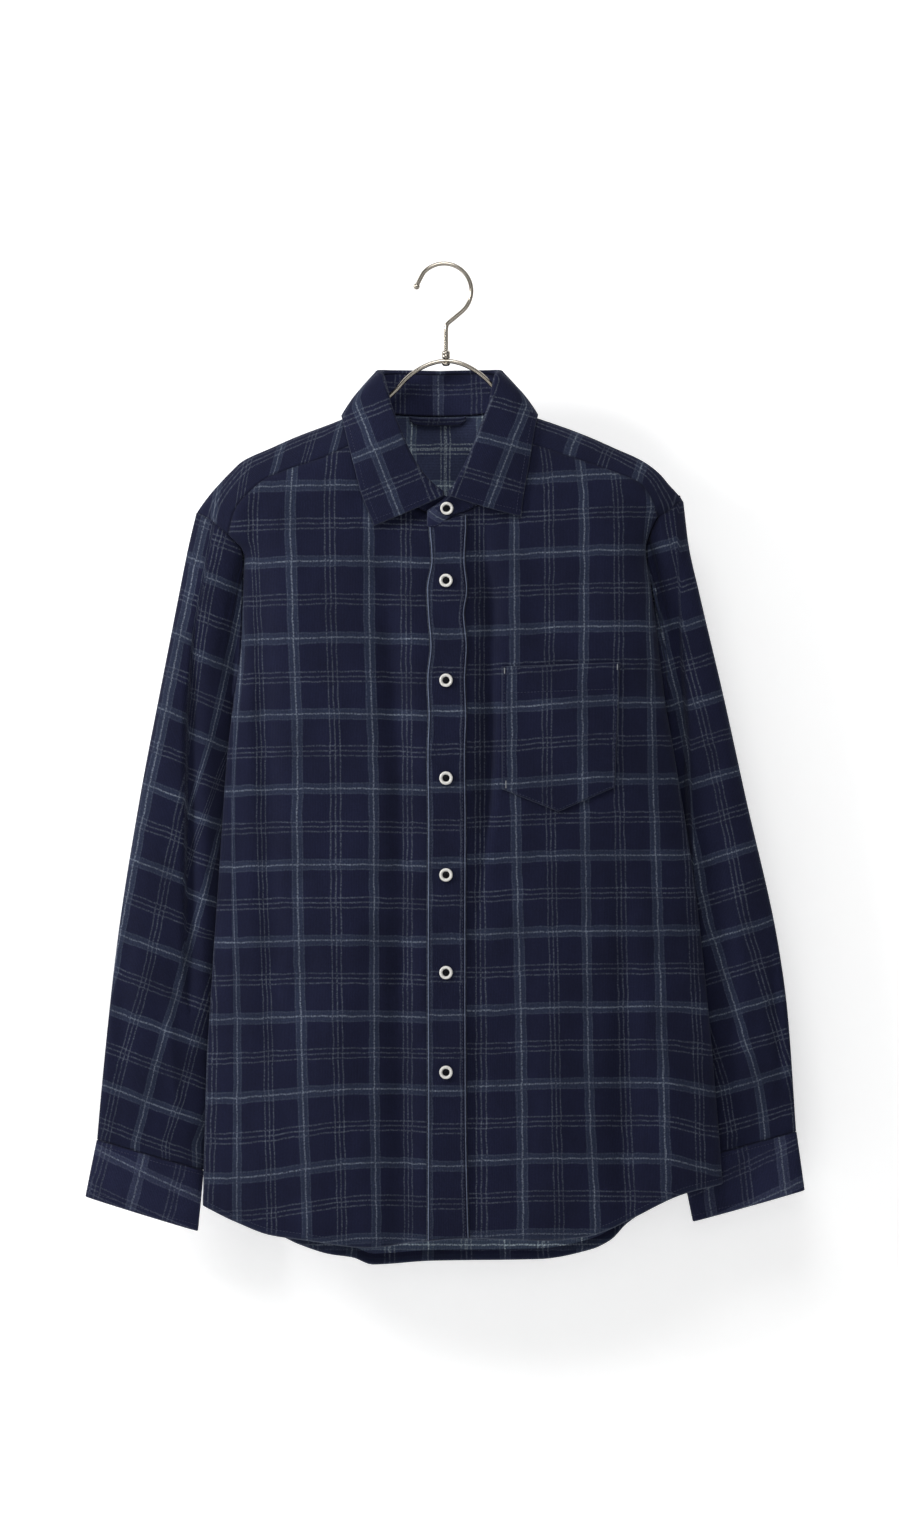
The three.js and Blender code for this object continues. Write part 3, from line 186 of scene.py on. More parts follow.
FRONT_HEM = Curves("x z", [
    (-219, -844), (-186.5, -859), (-157, -869.6), (-122, -874.4), (-70, -880.7), (-25, -875.5),
    (20, -872.2), (88, -874), (124.6, -871), (145, -865), (162.5, -857), (212, -833.4),
    (249, -824.8),
])
BACK_HEM = Curves("x z", [
    (-219, -843), (-186, -857), (-154, -869.6), (-133, -879.8), (-105.7, -888.8), (-84, -892),
    (-66, -898.5), (-14, -895), (84, -893.5), (131, -884.7), (149, -876), (163, -861.5),
    (180, -850), (212, -833.4), (249, -825),
])
# Outer line of each sleeve, and its inner line behind the body.
SLEEVE_OUTER = {
    "right": Curves("z x", [(-222, 223), (-251, 230), (-295, 239), (-381, 256), (-478, 274.5),
                            (-608, 295), (-738, 309), (-786, 313.2)]),
    "left": Curves("z x", [(-211.5, 212), (-251, 217), (-295, 227), (-381, 247.5), (-478, 269),
                           (-608, 298), (-673, 307), (-779, 314.6)]),
}
SLEEVE_INNER = {
    "right": Curves("z x", [(-393, 188.2), (-396, 190.8), (-402, 191.7), (-462, 191.5),
                            (-540, 194.5), (-615, 200), (-744, 210), (-813.6, 219.2)]),
    "left": Curves("z x", [(-391, 193.7), (-394, 196.6), (-400, 197.5), (-440, 197), (-520, 197),
                           (-600, 198), (-700, 205), (-807, 213)]),
}
# Along a sleeve: half its depth, and where its outer and inner lines lie behind the hanger.
SLEEVE_FORM = {
    "right": Curves("along depth outer inner", [
        (0, 8, 0, 6.5), (0.04, 9, 0, 9.5), (0.12, 12, 1, 13.5), (0.3, 17, 3, 16.5),
        (0.5, 18, 5, 18), (0.75, 15, 7, 18), (1, 9, 8, 15)]),
    "left": Curves("along depth outer inner", [
        (0, 8, 0, 6.5), (0.04, 9, 0, 9), (0.12, 11, 1, 14), (0.3, 15, 4, 22), (0.5, 16, 9, 28),
        (0.75, 14, 13, 28), (1, 9, 15, 24)]),
}
# Cuffs: top and bottom corners on the outer and inner side, and their lines behind the hanger.
CUFF = {
    "right": {"top_outer": (313.2, 8, -786), "top_inner": (219.2, 15, -813.6),
              "end_outer": (323.4, 8, -837), "end_inner": (224.4, 15, -868)},
    "left": {"top_outer": (314.6, 15, -779), "top_inner": (213, 24, -807),
             "end_outer": (322, 15, -831.7), "end_inner": (223.6, 24, -860)},
}
# Collar, by degrees round the neck from the centre back: the roll line, and the leaf's outer
# edge as its reach from the collar's middle and its signed drop below the ridge (front is -).
COLLAR = Curves("round x y z mid reach edge_mid drop tilt", [
    (0, 0, 18, -94.5, -6, 0, -6, 26, 0), (30, 28, 16, -94, -6, 42, -6, 23, 0),
    (60, 46, 10, -94.5, -6, 72, -6, 12, 0), (78, 51, 3, -96, -6, 83.5, -5.5, 3.5, 0),
    (92, 49.5, -4, -99, -6, 86.5, -5.5, -1, 0), (105, 44.5, -13, -123, -5.5, 85, -5.5, -9, 0),
    (120, 36, -22, -147, -5.5, 81.5, -5, -28, 0), (135, 26, -29, -171, -5, 78, -4, -46, 1),
    (150, 17.5, -33, -186, -4, 74, -3, -66, 3), (165, 9.5, -35.5, -197, -2, 69.5, -1, -84, 5),
    (178, 1.9, -36.5, -204, 0, 65.5, 1.5, -100, 6.5), (198, -20, -35, -210, 0, 65.5, 1.5, -100, 6.5),
])
# Folds: a line from one point to another, its width and height (+ stands out), and how much
# steeper its left side is than its right.
FOLDS = {
    "front_right": [
        (-171, -215, -162, -480, 10, -4.8, 1.4), (-163, -380, -156, -700, 11, -5, 1),
        (-52, -250, -46, -440, 12, -4, 1), (-43, -380, -39, -640, 9, -4, 0.6),
        (-42, -600, -38, -890, 15, -6, 1),
        (-104, -560, -112, -890, 24, 3, 1), (-120, -230, -112, -330, 9, 0.8, 1),
        (-30, -420, -36, -640, 8, -1.1, 1), (-186, -500, -190, -800, 7, -1.4, 1.3),
        (-76, -470, -84, -700, 16, 1.2, 1), (-150, -380, -60, -408, 6, 0.5, 1),
    ],
    "front_left": [
        (33, -236, 43, -330, 8, -4.5, 0.5), (43, -290, 36, -500, 8, -5.5, 0.5),
        (43, -400, 31, -570, 7, -5, 0.35),
        (160, -560, 160, -880, 13, -5.6, 1), (198, -700, 204, -860, 15, 4, 1),
        (100, -560, 92, -890, 24, 3, 1), (58, -250, 66, -360, 12, 1.6, 1),
        (30, -560, 27, -860, 8, -1.6, 1), (176, -420, 190, -640, 9, -1.2, 1),
        (128, -240, 122, -330, 12, -0.9, 1), (142, -520, 150, -700, 8, 0.8, 1),
    ],
    "back": [
        (-120, -250, -128, -620, 16, -4, 1), (-52, -330, -66, -890, 20, 4, 1),
        (38, -260, 52, -700, 18, -3.5, 1), (128, -280, 150, -860, 18, 4, 1),
        (-160, -300, -150, -560, 9, 1.4, 1.5), (-92, -560, -100, -880, 9, -1.8, 1),
        (84, -420, 92, -800, 10, -1.6, 1.3), (-8, -240, -4, -520, 12, 1.5, 1),
    ],
    "sleeve_right": [
        (-222, -296, -232, -420, 5, -4, 3), (-231, -380, -232, -660, 6, -6.5, 3),
        (-216, -420, -218, -700, 10, 3, 1),
        (-286, -560, -296, -770, 9, -2.5, 1), (-262, -300, -272, -520, 9, -1.2, 1),
        (-252, -640, -240, -790, 6, 1.3, 1), (-226, -290, -262, -316, 6, 0.9, 1),
    ],
    "sleeve_left": [
        (205, -262, 214, -420, 6, -6.5, 0.35), (213, -380, 217, -600, 6, -6, 0.35),
        (292, -600, 306, -770, 7, -4.6, 1),
        (262, -520, 272, -760, 12, 2.5, 1), (244, -300, 258, -500, 8, 1.2, 1),
        (236, -600, 244, -790, 7, -1.4, 1.6), (222, -262, 250, -300, 6, 0.8, 1),
    ],
}
FOLD_FADE = 22  # the drop below the yoke's seam over which the folds begin
FOLD_DEPTH = 1.7  # what the folds' heights are multiplied by
WAVE_HEIGHT = 0.26

# How far sideways the check's lines stand from an even spread, near the placket, halfway and at
# the side, and how far up they stand near the placket and at the side.
CHECK_SPREAD = {
    "right": Curves("z near middle far", [
        (-215, 1.5, 0, 0), (-329, 2.6, 3.8, 4), (-442, 6.4, 7.4, 8), (-498, 7.2, 6.8, 10),
        (-714, 7.6, 12.2, 23), (-858, 10, 17.8, 21)]),
    "left": Curves("z near middle far", [
        (-215, 0, 0, 0), (-442, 0.5, -1.8, 0), (-498, 1.4, -0.4, 1.4), (-714, 6.8, 2.4, 8.6),
        (-858, 7.9, 9.7, 11.4)]),
}
CHECK_LIFT = {
    "right": Curves("z near far", [
        (-230, -2.6, -2.6), (-300, -2, -2), (-370, -3, -3), (-440, -0.8, -0.8), (-606, 0.5, 0.5),
        (-674, 1.5, 1.5), (-741, 5, 5), (-808, 7.2, 7.2), (-880, 8, 8)]),
    "left": Curves("z near far", [
        (-230, 1.1, 0.5), (-300, 3.8, 0.5), (-440, 3, 0.5), (-500, 4, 0.6), (-537, 5.4, 0.8),
        (-606, 6.2, 1.4), (-672, 6.5, 1.8), (-740, 7.2, 2), (-808, 9, 2.5), (-880, 10, 3)]),
}
# Where the check's crosswise lines fall over the shoulders: a band at each whole repeat.
YOKE_CHECK = Curves("x place", [
    (-230, 307.8), (-202, 273.6), (-173.5, 239.4), (-143, 205.2), (-114, 171), (-89, 136.8),
    (-62, 102.6), (-31, 68.4), (-0.5, 34.2), (33, 0), (78, -34.2), (122, -68.4), (150, -102.6),
    (180, -136.8), (212, -171)])
SLEEVE_CHECK = {
    "right": Curves("z band narrow past past_narrow crease", [
        (-230, 9, 0.95, 58, 0.9, -208), (-287, 8.5, 0.95, 57, 0.9, -219),
        (-340, 8, 0.95, 55.5, 0.8, -228), (-414, 8, 0.95, 53.6, 0.6, -233),
        (-482, 6, 0.94, 46.6, 0.46, -234), (-568, 3, 0.91, 22.3, 0.7, -235),
        (-628, 0, 0.89, 0, 0.89, -235), (-738, -16.8, 0.86, -16.8, 0.86, -235),
        (-790, -21, 0.79, -21, 0.79, -235)]),
    "left": Curves("z band narrow past past_narrow crease", [
        (-230, 58, 0.95, 44, 0.9, 208), (-350, 57, 0.95, 41, 0.9, 212),
        (-449, 54, 0.93, 41, 0.9, 220), (-525, 56, 0.94, 47, 0.9, 222),
        (-579, 58.5, 0.95, 58.5, 0.95, 222), (-629, 52.6, 0.92, 52.6, 0.92, 222),
        (-683, 43, 0.9, 43, 0.9, 222), (-746, 29.7, 0.88, 29.7, 0.88, 222),
        (-782, 27.5, 0.85, 27.5, 0.85, 222)]),
}
# A crosswise band's height on the outer line, the bands' spacing there and their fall inwards;
# then how much lower the check lies past the crease.
SLEEVE_BANDS = {"right": (-261.5, 67.8, 0.36, 11), "left": (-318.2, 67.5, 0.29, -5)}
# How the placket's edges sway near its top, where it buckles a little.
PLACKET_SWAY = Curves("z left right", [
    (-238, 1.5, 0.6), (-265, 3.4, -0.8), (-292, -0.6, 1.6), (-313, 0.2, -1.2), (-343, 2.4, 1.2),
    (-372, -0.4, -0.3), (-404, 0.7, 0.6), (-440, -0.3, -0.4), (-500, 0.4, 0.2), (-620, 0, 0),
    (-760, 0.3, 0.5), (-860, 0, 2.5), (-880, 0, 3.5)])


# ---- Form of the body ---------------------------------------------------------------------
def mix(a, b, t):
    return a + (b - a) * t


def smooth(value):
    t = np.clip(value, 0, 1)
    return t * t * (3 - 2 * t)


def unit(vectors):
    return vectors / np.maximum(np.linalg.norm(vectors, axis=-1, keepdims=True), 1e-9)


def points(x, y, z):
    return np.stack(np.broadcast_arrays(x, y, z), axis=-1).astype(float)


def sign_of(side):
    return -1 if side == "right" else 1


def by_side(right, left, x):
    return np.where(x < 0, right, left)


def fold_height(piece, x, z):
    """How far the folds of a piece stand out at a place seen from the front."""
    height = 0 * x
    for from_x, from_z, to_x, to_z, width, rise, lean in FOLDS[piece]:
        run_x, run_z = to_x - from_x, to_z - from_z
        length = run_x**2 + run_z**2
        along = np.clip(((x - from_x) * run_x + (z - from_z) * run_z) / length, 0, 1)
        off_x, off_z = x - from_x - run_x * along, z - from_z - run_z * along
        steep = np.where(off_x < 0, math.sqrt(lean), 1 / math.sqrt(lean))
        away = np.hypot(off_x, off_z) * steep / width
        height = height + rise * np.sin(math.pi * mix(0.12, 0.88, along)) * np.exp(-(away**2))
    return FOLD_DEPTH * height


def unevenness(piece, x, z):
    """Low, broad waves of hanging cloth, longer down the piece than across."""
    random = np.random.default_rng(sum(map(ord, piece)))
    height = 0 * x
    for _ in range(7):
        across, down = random.uniform(26, 80), random.uniform(120, 420)
        phase, lean = random.uniform(0, 2 * math.pi), random.uniform(-0.3, 0.3)
        swing = 2 * math.pi * (x + lean * z) / across + phase
        height = height + WAVE_HEIGHT * np.sin(swing) * np.sin(2 * math.pi * z / down + 3 * phase)
    return height


def opening(x, z):
    """How far the cloth has opened out at a drop below the ridge, from 0 to 1."""
    drop = np.clip((RIDGE("z", x) - z) / SHOULDER_ROUND, 0, 1)
    return np.sqrt(1 - (1 - drop) ** 2)


def below_seam(x, z):
    drop = by_side(YOKE_SEAM["right"]("drop", abs(x)), YOKE_SEAM["left"]("drop", abs(x)), x)
    return smooth((RIDGE("z", x) - drop - z) / FOLD_FADE)


def body_y(x, z, face, piece=None):
    """The cloth's y at a place of the body, on its front (face -1) or its back (face 1)."""
    side = "front" if face < 0 else "back"
    reach = by_side(OUTLINE("right", z), OUTLINE("left", z), x)
    across = np.minimum(abs(x) / reach, 1)
    rounding = np.sqrt(1 - across ** DEPTH(side + "_power", z))
    lift = 0
    if piece:
        lift = (fold_height(piece, x, z) + unevenness(piece, x, z)) * rounding * below_seam(x, z)
    return face * (DEPTH(side, z) * rounding * opening(x, z) + lift)


def body_point(way, z, face, piece=None):
    """A point by its way across; past the outline the way goes on round, on the other face."""
    reach = by_side(OUTLINE("right", z), OUTLINE("left", z), way)
    past = abs(way) > reach
    x = np.sign(way) * np.where(past, 2 * reach - abs(way), abs(way))
    here, beyond = body_y(x, z, face, piece), body_y(x, z, -face)
    return points(x, np.where(past, beyond, here), z)


def shoulder_point(x, root):
    """A point over the shoulders by the signed root of its drop: front is -, back is +."""
    z = RIDGE("z", x) - root**2
    y = np.where(root < 0, body_y(x, z, -1), body_y(x, z, 1))
    return points(x, np.where(root == 0, 0, y), z)


def neck_point(degrees):
    """The neck seam, by degrees round from the centre back; past 180 it laps the front."""
    angle = np.radians(degrees)
    x = NECK_HALF * np.sin(angle) + NECK_SHIFT * np.minimum(1, 1 + np.cos(angle))
    front = np.cos(angle) < 0
    fall = np.where(front, -NECK_FRONT_DROP * np.cos(angle), NECK_BACK_DROP * np.cos(angle) ** 2)
    z = NECK_SIDE_Z - fall
    held = np.minimum(z, RIDGE("z", x))
    return points(x, np.where(front, body_y(x, held, -1), body_y(x, held, 1)), z)


def patch(top, bottom, start, end, columns, rows):
    """A four-sided patch between its edges; each edge gives pairs of numbers for 0 to 1."""
    u, v = columns[None, :, None], rows[:, None, None]
    corner = [edge(np.array([0.0, 1.0])) for edge in (top, bottom)]
    across = (1 - v) * top(columns)[None] + v * bottom(columns)[None]
    down = (1 - u) * start(rows)[:, None] + u * end(rows)[:, None]
    corners = ((1 - u) * (1 - v) * corner[0][0] + u * (1 - v) * corner[0][1]
               + (1 - u) * v * corner[1][0] + u * v * corner[1][1])
    return across + down - corners


def pair(a, b):
    return np.stack(np.broadcast_arrays(a, b), axis=-1).astype(float)


def yoke_seam(side, t):
    sign, table = sign_of(side), YOKE_SEAM[side]
    corner = neck_point(sign * YOKE_CORNER)
    corner_drop = RIDGE("z", corner[0]) - corner[2]
    reach = mix(abs(corner[0]), table.key[-1], t)
    drop = table("drop", reach)
    return sign * reach, drop + (1 - t) ** 4 * (corner_drop - drop)


def below_yoke(side, t):
    """The front's edge along the yoke's seam: a gap below it, square to it."""
    sign = sign_of(side)

    def place(share):
        x, drop = yoke_seam(side, share)
        return pair(x, RIDGE("z", x) - drop)

    run = unit(place(np.minimum(t + 0.02, 1)) - place(np.maximum(t - 0.02, 0)))
    gap = SEAM + 0.1
    return place(t) + pair(sign * run[..., 1] * gap, -sign * run[..., 0] * gap)


def side_edge(side, column, corner, hem_z):
    """An armhole edge then the side seam, from the yoke down to the hem."""
    sign, table = sign_of(side), ARMHOLE[side]
    first, underarm = table.key[-1], table.key[0]
    offset = corner - np.array([sign * table(column, first), first])
    last_way = table(column, underarm)

    def edge(v):
        z = mix(first, hem_z, v)
        settle = smooth((underarm - z) / SIDE_SETTLE[column])
        seam = OUTLINE(side, z) * SIDE_SEAM[column]
        below = seam + (last_way - OUTLINE(side, underarm)) * (1 - settle)
        way = np.where(z >= underarm, table(column, z), below)
        near = (1 - v) ** 60
        return pair(sign * way + offset[0] * near, z + offset[1] * near)

    return edge


def lap_step(side, x):
    """How far a front moves out or in where the two lap at the middle."""
    fade = smooth(1 - np.maximum(abs(x) - FRONT_EDGE, 0) / LAP_REACH)
    return (-LAP if side == "left" else LAP) * fade


def gather(count, power=1.9):
    """Shares from 0 to 1 that lie closer together towards 1."""
    return 1 - (1 - np.linspace(0, 1, count)) ** power


# ---- Skins: closed walls of cloth about a grid of points ------------------------------------
def arc(grid, axis):
    """Lengths along a grid's rows or columns from their start."""
    step = np.linalg.norm(np.diff(grid, axis=axis), axis=-1)
    zero = np.zeros_like(np.take(step, [0], axis=axis))
    return np.cumsum(np.concatenate([zero, step], axis=axis), axis=axis)


def grid_normals(grid, ring):
    if ring:  # its last column is its first
        wide = np.concatenate([grid[:, -2:-1], grid, grid[:, 1:2]], axis=1)
        across = (wide[:, 2:] - wide[:, :-2])
    else:
        across = np.gradient(grid, axis=1)
    return unit(np.cross(across, np.gradient(grid, axis=0)))


class Skin:
    """A piece of cloth as a grid on its middle: rows run down it and columns across it."""

    def __init__(self, grid, thickness, weave, ring=False, outward=None, free=(), tucked=()):
        self.grid, self.ring, self.weave = grid, ring, weave
        self.normals = grid_normals(grid, ring)
        if outward is not None and np.sum(self.normals * outward(grid)) < 0:
            self.normals = -self.normals
        self.thickness = np.zeros(grid.shape[:2]) + thickness
        down, across = arc(grid, 0), arc(grid, 1)
        self.from_edge = {"top": down, "foot": down[-1:] - down, "start": across,
                          "end": across[:, -1:] - across}
        for edge in tucked:
            self.turn_in(edge)
        self.free = free  # edges that aren't sewn to another piece
        self.inner_face = np.zeros(self.grid.shape[:2])  # 1 where a turned hem shows the face inside

    def turn_in(self, edge):
        """Carries the cloth on past an edge, under the piece that it is sewn to."""
        count = TURN_ROWS
        axis = 0 if edge in ("top", "foot") else 1
        first = edge in ("top", "start")
        take = [np.take(self.grid, [k], axis=axis) for k in ((0, 1) if first else (-1, -2))]
        away = unit(take[0] - take[1])
        normal = np.take(self.normals, [0 if first else -1], axis=axis)
        share = np.linspace(0, 1, count + 1)[1:]
        share = share[::-1] if first else share
        share = share[:, None, None] if axis == 0 else share[None, :, None]
        added = take[0] + away * ALLOWANCE * share - normal * TUCK * smooth(share * 2.5)

        def grown(field, beyond):
            parts = [beyond, field] if first else [field, beyond]
            return np.concatenate(parts, axis=axis)

        edge_of = [0 if first else -1]
        repeat = np.repeat(np.take(self.weave, edge_of, axis=axis), count, axis=axis)
        step = ALLOWANCE * share * (1 if first else -1)
        shift = [0 * step, step] if axis == 0 else [-step, 0 * step]
        self.weave = grown(self.weave, repeat + np.concatenate(shift, axis=-1))
        self.normals = grown(self.normals, np.repeat(normal, count, axis=axis))
        self.thickness = grown(self.thickness, np.repeat(
            np.take(self.thickness, edge_of, axis=axis), count, axis=axis))
        for name, reach in self.from_edge.items():
            at_edge = np.repeat(np.take(reach, edge_of, axis=axis), count, axis=axis)
            if name == edge:
                at_edge = at_edge - ALLOWANCE * share[..., 0]
            self.from_edge[name] = grown(reach, at_edge)
        self.grid = grown(self.grid, added)

    def nearest(self, edges):
        if not edges:
            return np.full(self.grid.shape[:2], NO_EDGE)
        return np.min([np.maximum(self.from_edge[edge], 0) for edge in edges], axis=0)

    def rail(self, edge, inset, start=0.0):
        """Points on the outer face at a distance in from one edge, with the normals there."""
        reach = self.from_edge[edge]
        outer = self.grid + self.normals * self.thickness[..., None] / 2
        lines = range(self.grid.shape[1]) if edge in ("top", "foot") else range(self.grid.shape[0])
        found = []
        for line in lines:
            take = (slice(None), line) if edge in ("top", "foot") else (line, slice(None))
            order = np.argsort(reach[take])
            lengths = reach[take][order]
            values = np.concatenate([outer[take][order], self.normals[take][order]], axis=-1)
            found.append([np.interp(inset, lengths, values[:, k]) for k in range(6)])
        found = np.array(found)[round(start * (len(found) - 1)):]
        return found[:, :3], unit(found[:, 3:])


def mesh_object(name, vertices, faces, material, smooth_faces=True):
    mesh = bpy.data.meshes.new(name)
    mesh.from_pydata((np.asarray(vertices) * MM).tolist(), [], [list(f) for f in faces])
    mesh.polygons.foreach_set("use_smooth", [smooth_faces] * len(mesh.polygons))
    made = bpy.data.objects.new(name, mesh)
    bpy.context.scene.collection.objects.link(made)
    for each in material if isinstance(material, (list, tuple)) else [material]:
        mesh.materials.append(each)
    return made


def write_map(mesh, name, corners, values):
    layer = mesh.uv_layers.new(name=name)
    layer.uv.foreach_set("vector", np.asarray(values)[corners].astype(np.float32).ravel())


RIM_INSET = 0.3  # how far each face draws in at a rim, as a share of half the thickness
RIM_FREE = 0.35  # how far a free edge's rim stands out
RIM_SEWN = 0.1


def skin_points(skin):
    """Points of a skin's outer face, of its inner face, and of the rims' round between them."""
    half = skin.thickness[..., None] / 2
    inset = np.zeros_like(skin.grid)
    bulge = np.zeros_like(skin.grid)
    turn = RIM_INSET * half
    every = slice(None)
    edges = [("top", (0, every), (1, every)), ("foot", (-1, every), (-2, every))]
    if not skin.ring:
        edges += [("start", (every, 0), (every, 1)), ("end", (every, -1), (every, -2))]
    for edge, at, beside in edges:
        away = unit(skin.grid[at] - skin.grid[beside])
        inset[at] -= away * turn[at]
        bulge[at] += away * (RIM_FREE if edge in skin.free else RIM_SEWN)
    outer = skin.grid + skin.normals * half + inset
    inner = skin.grid - skin.normals * half + inset
    return outer, inner, skin.grid + bulge


def skin_faces(skin):
    """Four-sided faces of a skin's outer face and of its rims, each with its places on the map."""
    rows, columns = skin.grid.shape[:2]
    size = rows * columns
    mapped = np.arange(size).reshape(rows, columns)
    index = mapped.copy()
    if skin.ring:
        index[:, -1] = index[:, 0]

    def faces_of(grid):
        return np.stack([grid[:-1, :-1], grid[1:, :-1], grid[1:, 1:], grid[:-1, 1:]],
                        axis=-1).reshape(-1, 4)

    def loops_of(grid):
        loops = [grid[0], grid[-1][::-1]]
        return loops if skin.ring else loops + [grid[::-1, 0], grid[:, -1]]

    rims, rim_map = [], []
    for loop, place in zip(loops_of(index), loops_of(mapped)):
        for low, high in ((0, 2 * size), (2 * size, size)):
            rims.append(np.stack([loop[:-1] + low, loop[1:] + low, loop[1:] + high,
                                  loop[:-1] + high], -1))
            rim_map.append(np.stack([place[:-1], place[1:], place[1:], place[:-1]], -1))
    return faces_of(index), faces_of(mapped), np.concatenate(rims), np.concatenate(rim_map)


def skin_object(name, skin, materials):
    """Makes the closed mesh of a skin: outer face, inner face, and rounded rims between."""
    outer, inner, middle = skin_points(skin)
    face, face_map, rims, rim_map = skin_faces(skin)
    faces = np.concatenate([face, face[:, ::-1] + outer[..., 0].size, rims])
    corners = np.concatenate([face_map, face_map[:, ::-1], rim_map]).ravel()
    # Turned so that every face looks out.
    first = face[len(face) // 2]
    a, b, c = outer.reshape(-1, 3)[first[:3]]
    if np.dot(np.cross(b - a, c - b), skin.normals.reshape(-1, 3)[first[0]]) < 0:
        faces = faces[:, ::-1]
        corners = corners.reshape(-1, 4)[:, ::-1].ravel()
    vertices = np.concatenate([outer.reshape(-1, 3), inner.reshape(-1, 3), middle.reshape(-1, 3)])
    used = np.unique(faces)
    remap = np.zeros(len(vertices), int)
    remap[used] = np.arange(len(used))
    made = mesh_object(name, vertices[used], remap[faces], materials)
    write_map(made.data, "weave", corners, skin.weave.reshape(-1, 2) * MM)
    edges = ("top", "foot") if skin.ring else ("top", "foot", "start", "end")
    sewn = [edge for edge in edges if edge not in skin.free]
    trim = pair(skin.nearest(skin.free), skin.nearest(sewn))
    write_map(made.data, "trim", corners, trim.reshape(-1, 2) * MM)
    if len(materials) > 1:
        turned = skin.inner_face.reshape(-1)[face_map[:, 0]] > 0.5
        index = np.concatenate([np.zeros(len(face), int), np.where(turned, 0, 1),
                                np.zeros(len(rims), int)])
        made.data.polygons.foreach_set("material_index", index)
    made.data.update()
    return made


def lengths_from(grid, row_zero=0, column_zero=0):
    """Weave coordinates as lengths along the cloth's rows and columns."""
    across, down = arc(grid, 1), arc(grid, 0)
    return pair(across - across[:, column_zero:column_zero + 1], -(down - down[row_zero]))


# ---- Cloth pieces ---------------------------------------------------------------------------
def away_from_middle(grid):
    return points(grid[..., 0] * 0.2, grid[..., 1], 0 * grid[..., 2])


def shares(columns, rows):
    """Shares from 0 to 1 across a grid, and down it."""
    return np.meshgrid(np.linspace(0, 1, columns), np.linspace(0, 1, rows))


def hem_bands(skin, width, rise):
    """The turned hem stands a little proud along the foot."""
    band = smooth((width - skin.from_edge["foot"]) / 0.8 + 0.5)
    skin.thickness = skin.thickness + rise * band


def check_spread(side, x, z):
    """How far sideways the check's lines stand from an even spread."""
    near, middle, far = (CHECK_SPREAD[side](name, z) for name in ("near", "middle", "far"))
    spread = 0
    for amount, start, stop in ((near, 17, 70), (middle - near, 70, 140), (far - middle, 140, 207)):
        spread = spread + amount * np.clip((abs(x) - start) / (stop - start), 0, 1)
    return spread


def check_lift(side, x, z):
    """How far up the check's crosswise lines stand from an even spread."""
    return mix(CHECK_LIFT[side]("near", z), CHECK_LIFT[side]("far", z), smooth((abs(x) - 60) / 110))


def left_rise(x):
    """How far the left front's check climbs towards the side."""
    return 8 * smooth((x - 20) / 150)


def front_weave(side, x, z, across):
    """The check's place on a front, from the length across it and the height."""
    band_x, band_z = BAND_AT[side]
    if side == "right":
        droop = 13 * smooth((-x - 60) / 130) * smooth((-640 - z) / 200)
        height = z - band_z + droop + 2.5 * np.sin(x / 60)
        return pair(across - band_x, height - check_lift(side, x, z))
    drop = 12 * smooth((x - 190) / 60) * smooth((-600 - z) / 200)
    height = z - band_z - (left_rise(x) - drop)
    return pair((across - band_x) * LEFT_CLOSER, height - check_lift(side, x, z))


def front_skin(side):
    sign = sign_of(side)
    neck_share = 0.42
    lap_round = math.degrees(math.asin(FRONT_EDGE / NECK_HALF))

    def top(u):
        degrees = mix(180 + lap_round, YOKE_CORNER, np.minimum(u / neck_share, 1))
        neck = neck_point(sign * degrees)
        along_neck = pair(neck[..., 0], neck[..., 2] - mix(0.2, 0.45, np.minimum(u / neck_share, 1)))
        seam = below_yoke(side, np.clip((u - neck_share) / (1 - neck_share), 0, 1))
        return np.where((u <= neck_share)[:, None], along_neck, seam)

    corner = sign * OUTLINE(side, HEM_CORNER_Z) * SIDE_SEAM["front"]

    def bottom(u):
        x = mix(-sign * FRONT_EDGE, corner, u)
        return pair(x, FRONT_HEM("z", x))

    ends = top(np.array([0.0, 1.0])), bottom(np.array([0.0, 1.0]))

    def start(v):
        return pair(-sign * FRONT_EDGE, mix(ends[0][0][1], ends[1][0][1], v))

    end = side_edge(side, "front", ends[0][1], ends[1][1][1])
    columns = np.concatenate([np.linspace(0, neck_share, 34)[:-1],
                              mix(neck_share, 1, gather(62))])
    flat = patch(top, bottom, start, end, columns, np.linspace(0, 1, 220) ** 0.96)
    spread = flat[..., 0] - check_spread(side, flat[..., 0], flat[..., 1])
    even_body = body_point(spread, flat[..., 1], -1) * np.array([1, 1, 0])
    across = arc(even_body, 1) * sign - sign * FRONT_EDGE
    if side == "left":  # its edge keeps to the placket's
        under = smooth((4 - flat[..., 0]) / 14)
        flat[..., 0] += PLACKET_SWAY("left", flat[..., 1]) * under
    grid = body_point(flat[..., 0], flat[..., 1], -1, "front_" + side)
    grid[..., 1] += lap_step(side, grid[..., 0])
    weave = front_weave(side, flat[..., 0], flat[..., 1], across)
    skin = Skin(grid, CLOTH, weave, outward=away_from_middle, free=("foot",), tucked=("top",))
    hem_bands(skin, HEM_FRONT, 0.5)
    return skin


def back_yoke_seam(u):
    ends = [body_point(sign_of(side) * ARMHOLE[side].data[-1, 2], ARMHOLE[side].key[-1], 1)
            for side in ("right", "left")]
    x = mix(ends[0][0], ends[1][0], u)
    end_x, end_z = by_side(ends[0][0], ends[1][0], x), by_side(ends[0][2], ends[1][2], x)
    return x, mix(BACK_YOKE_Z, end_z, (x / end_x) ** 2)


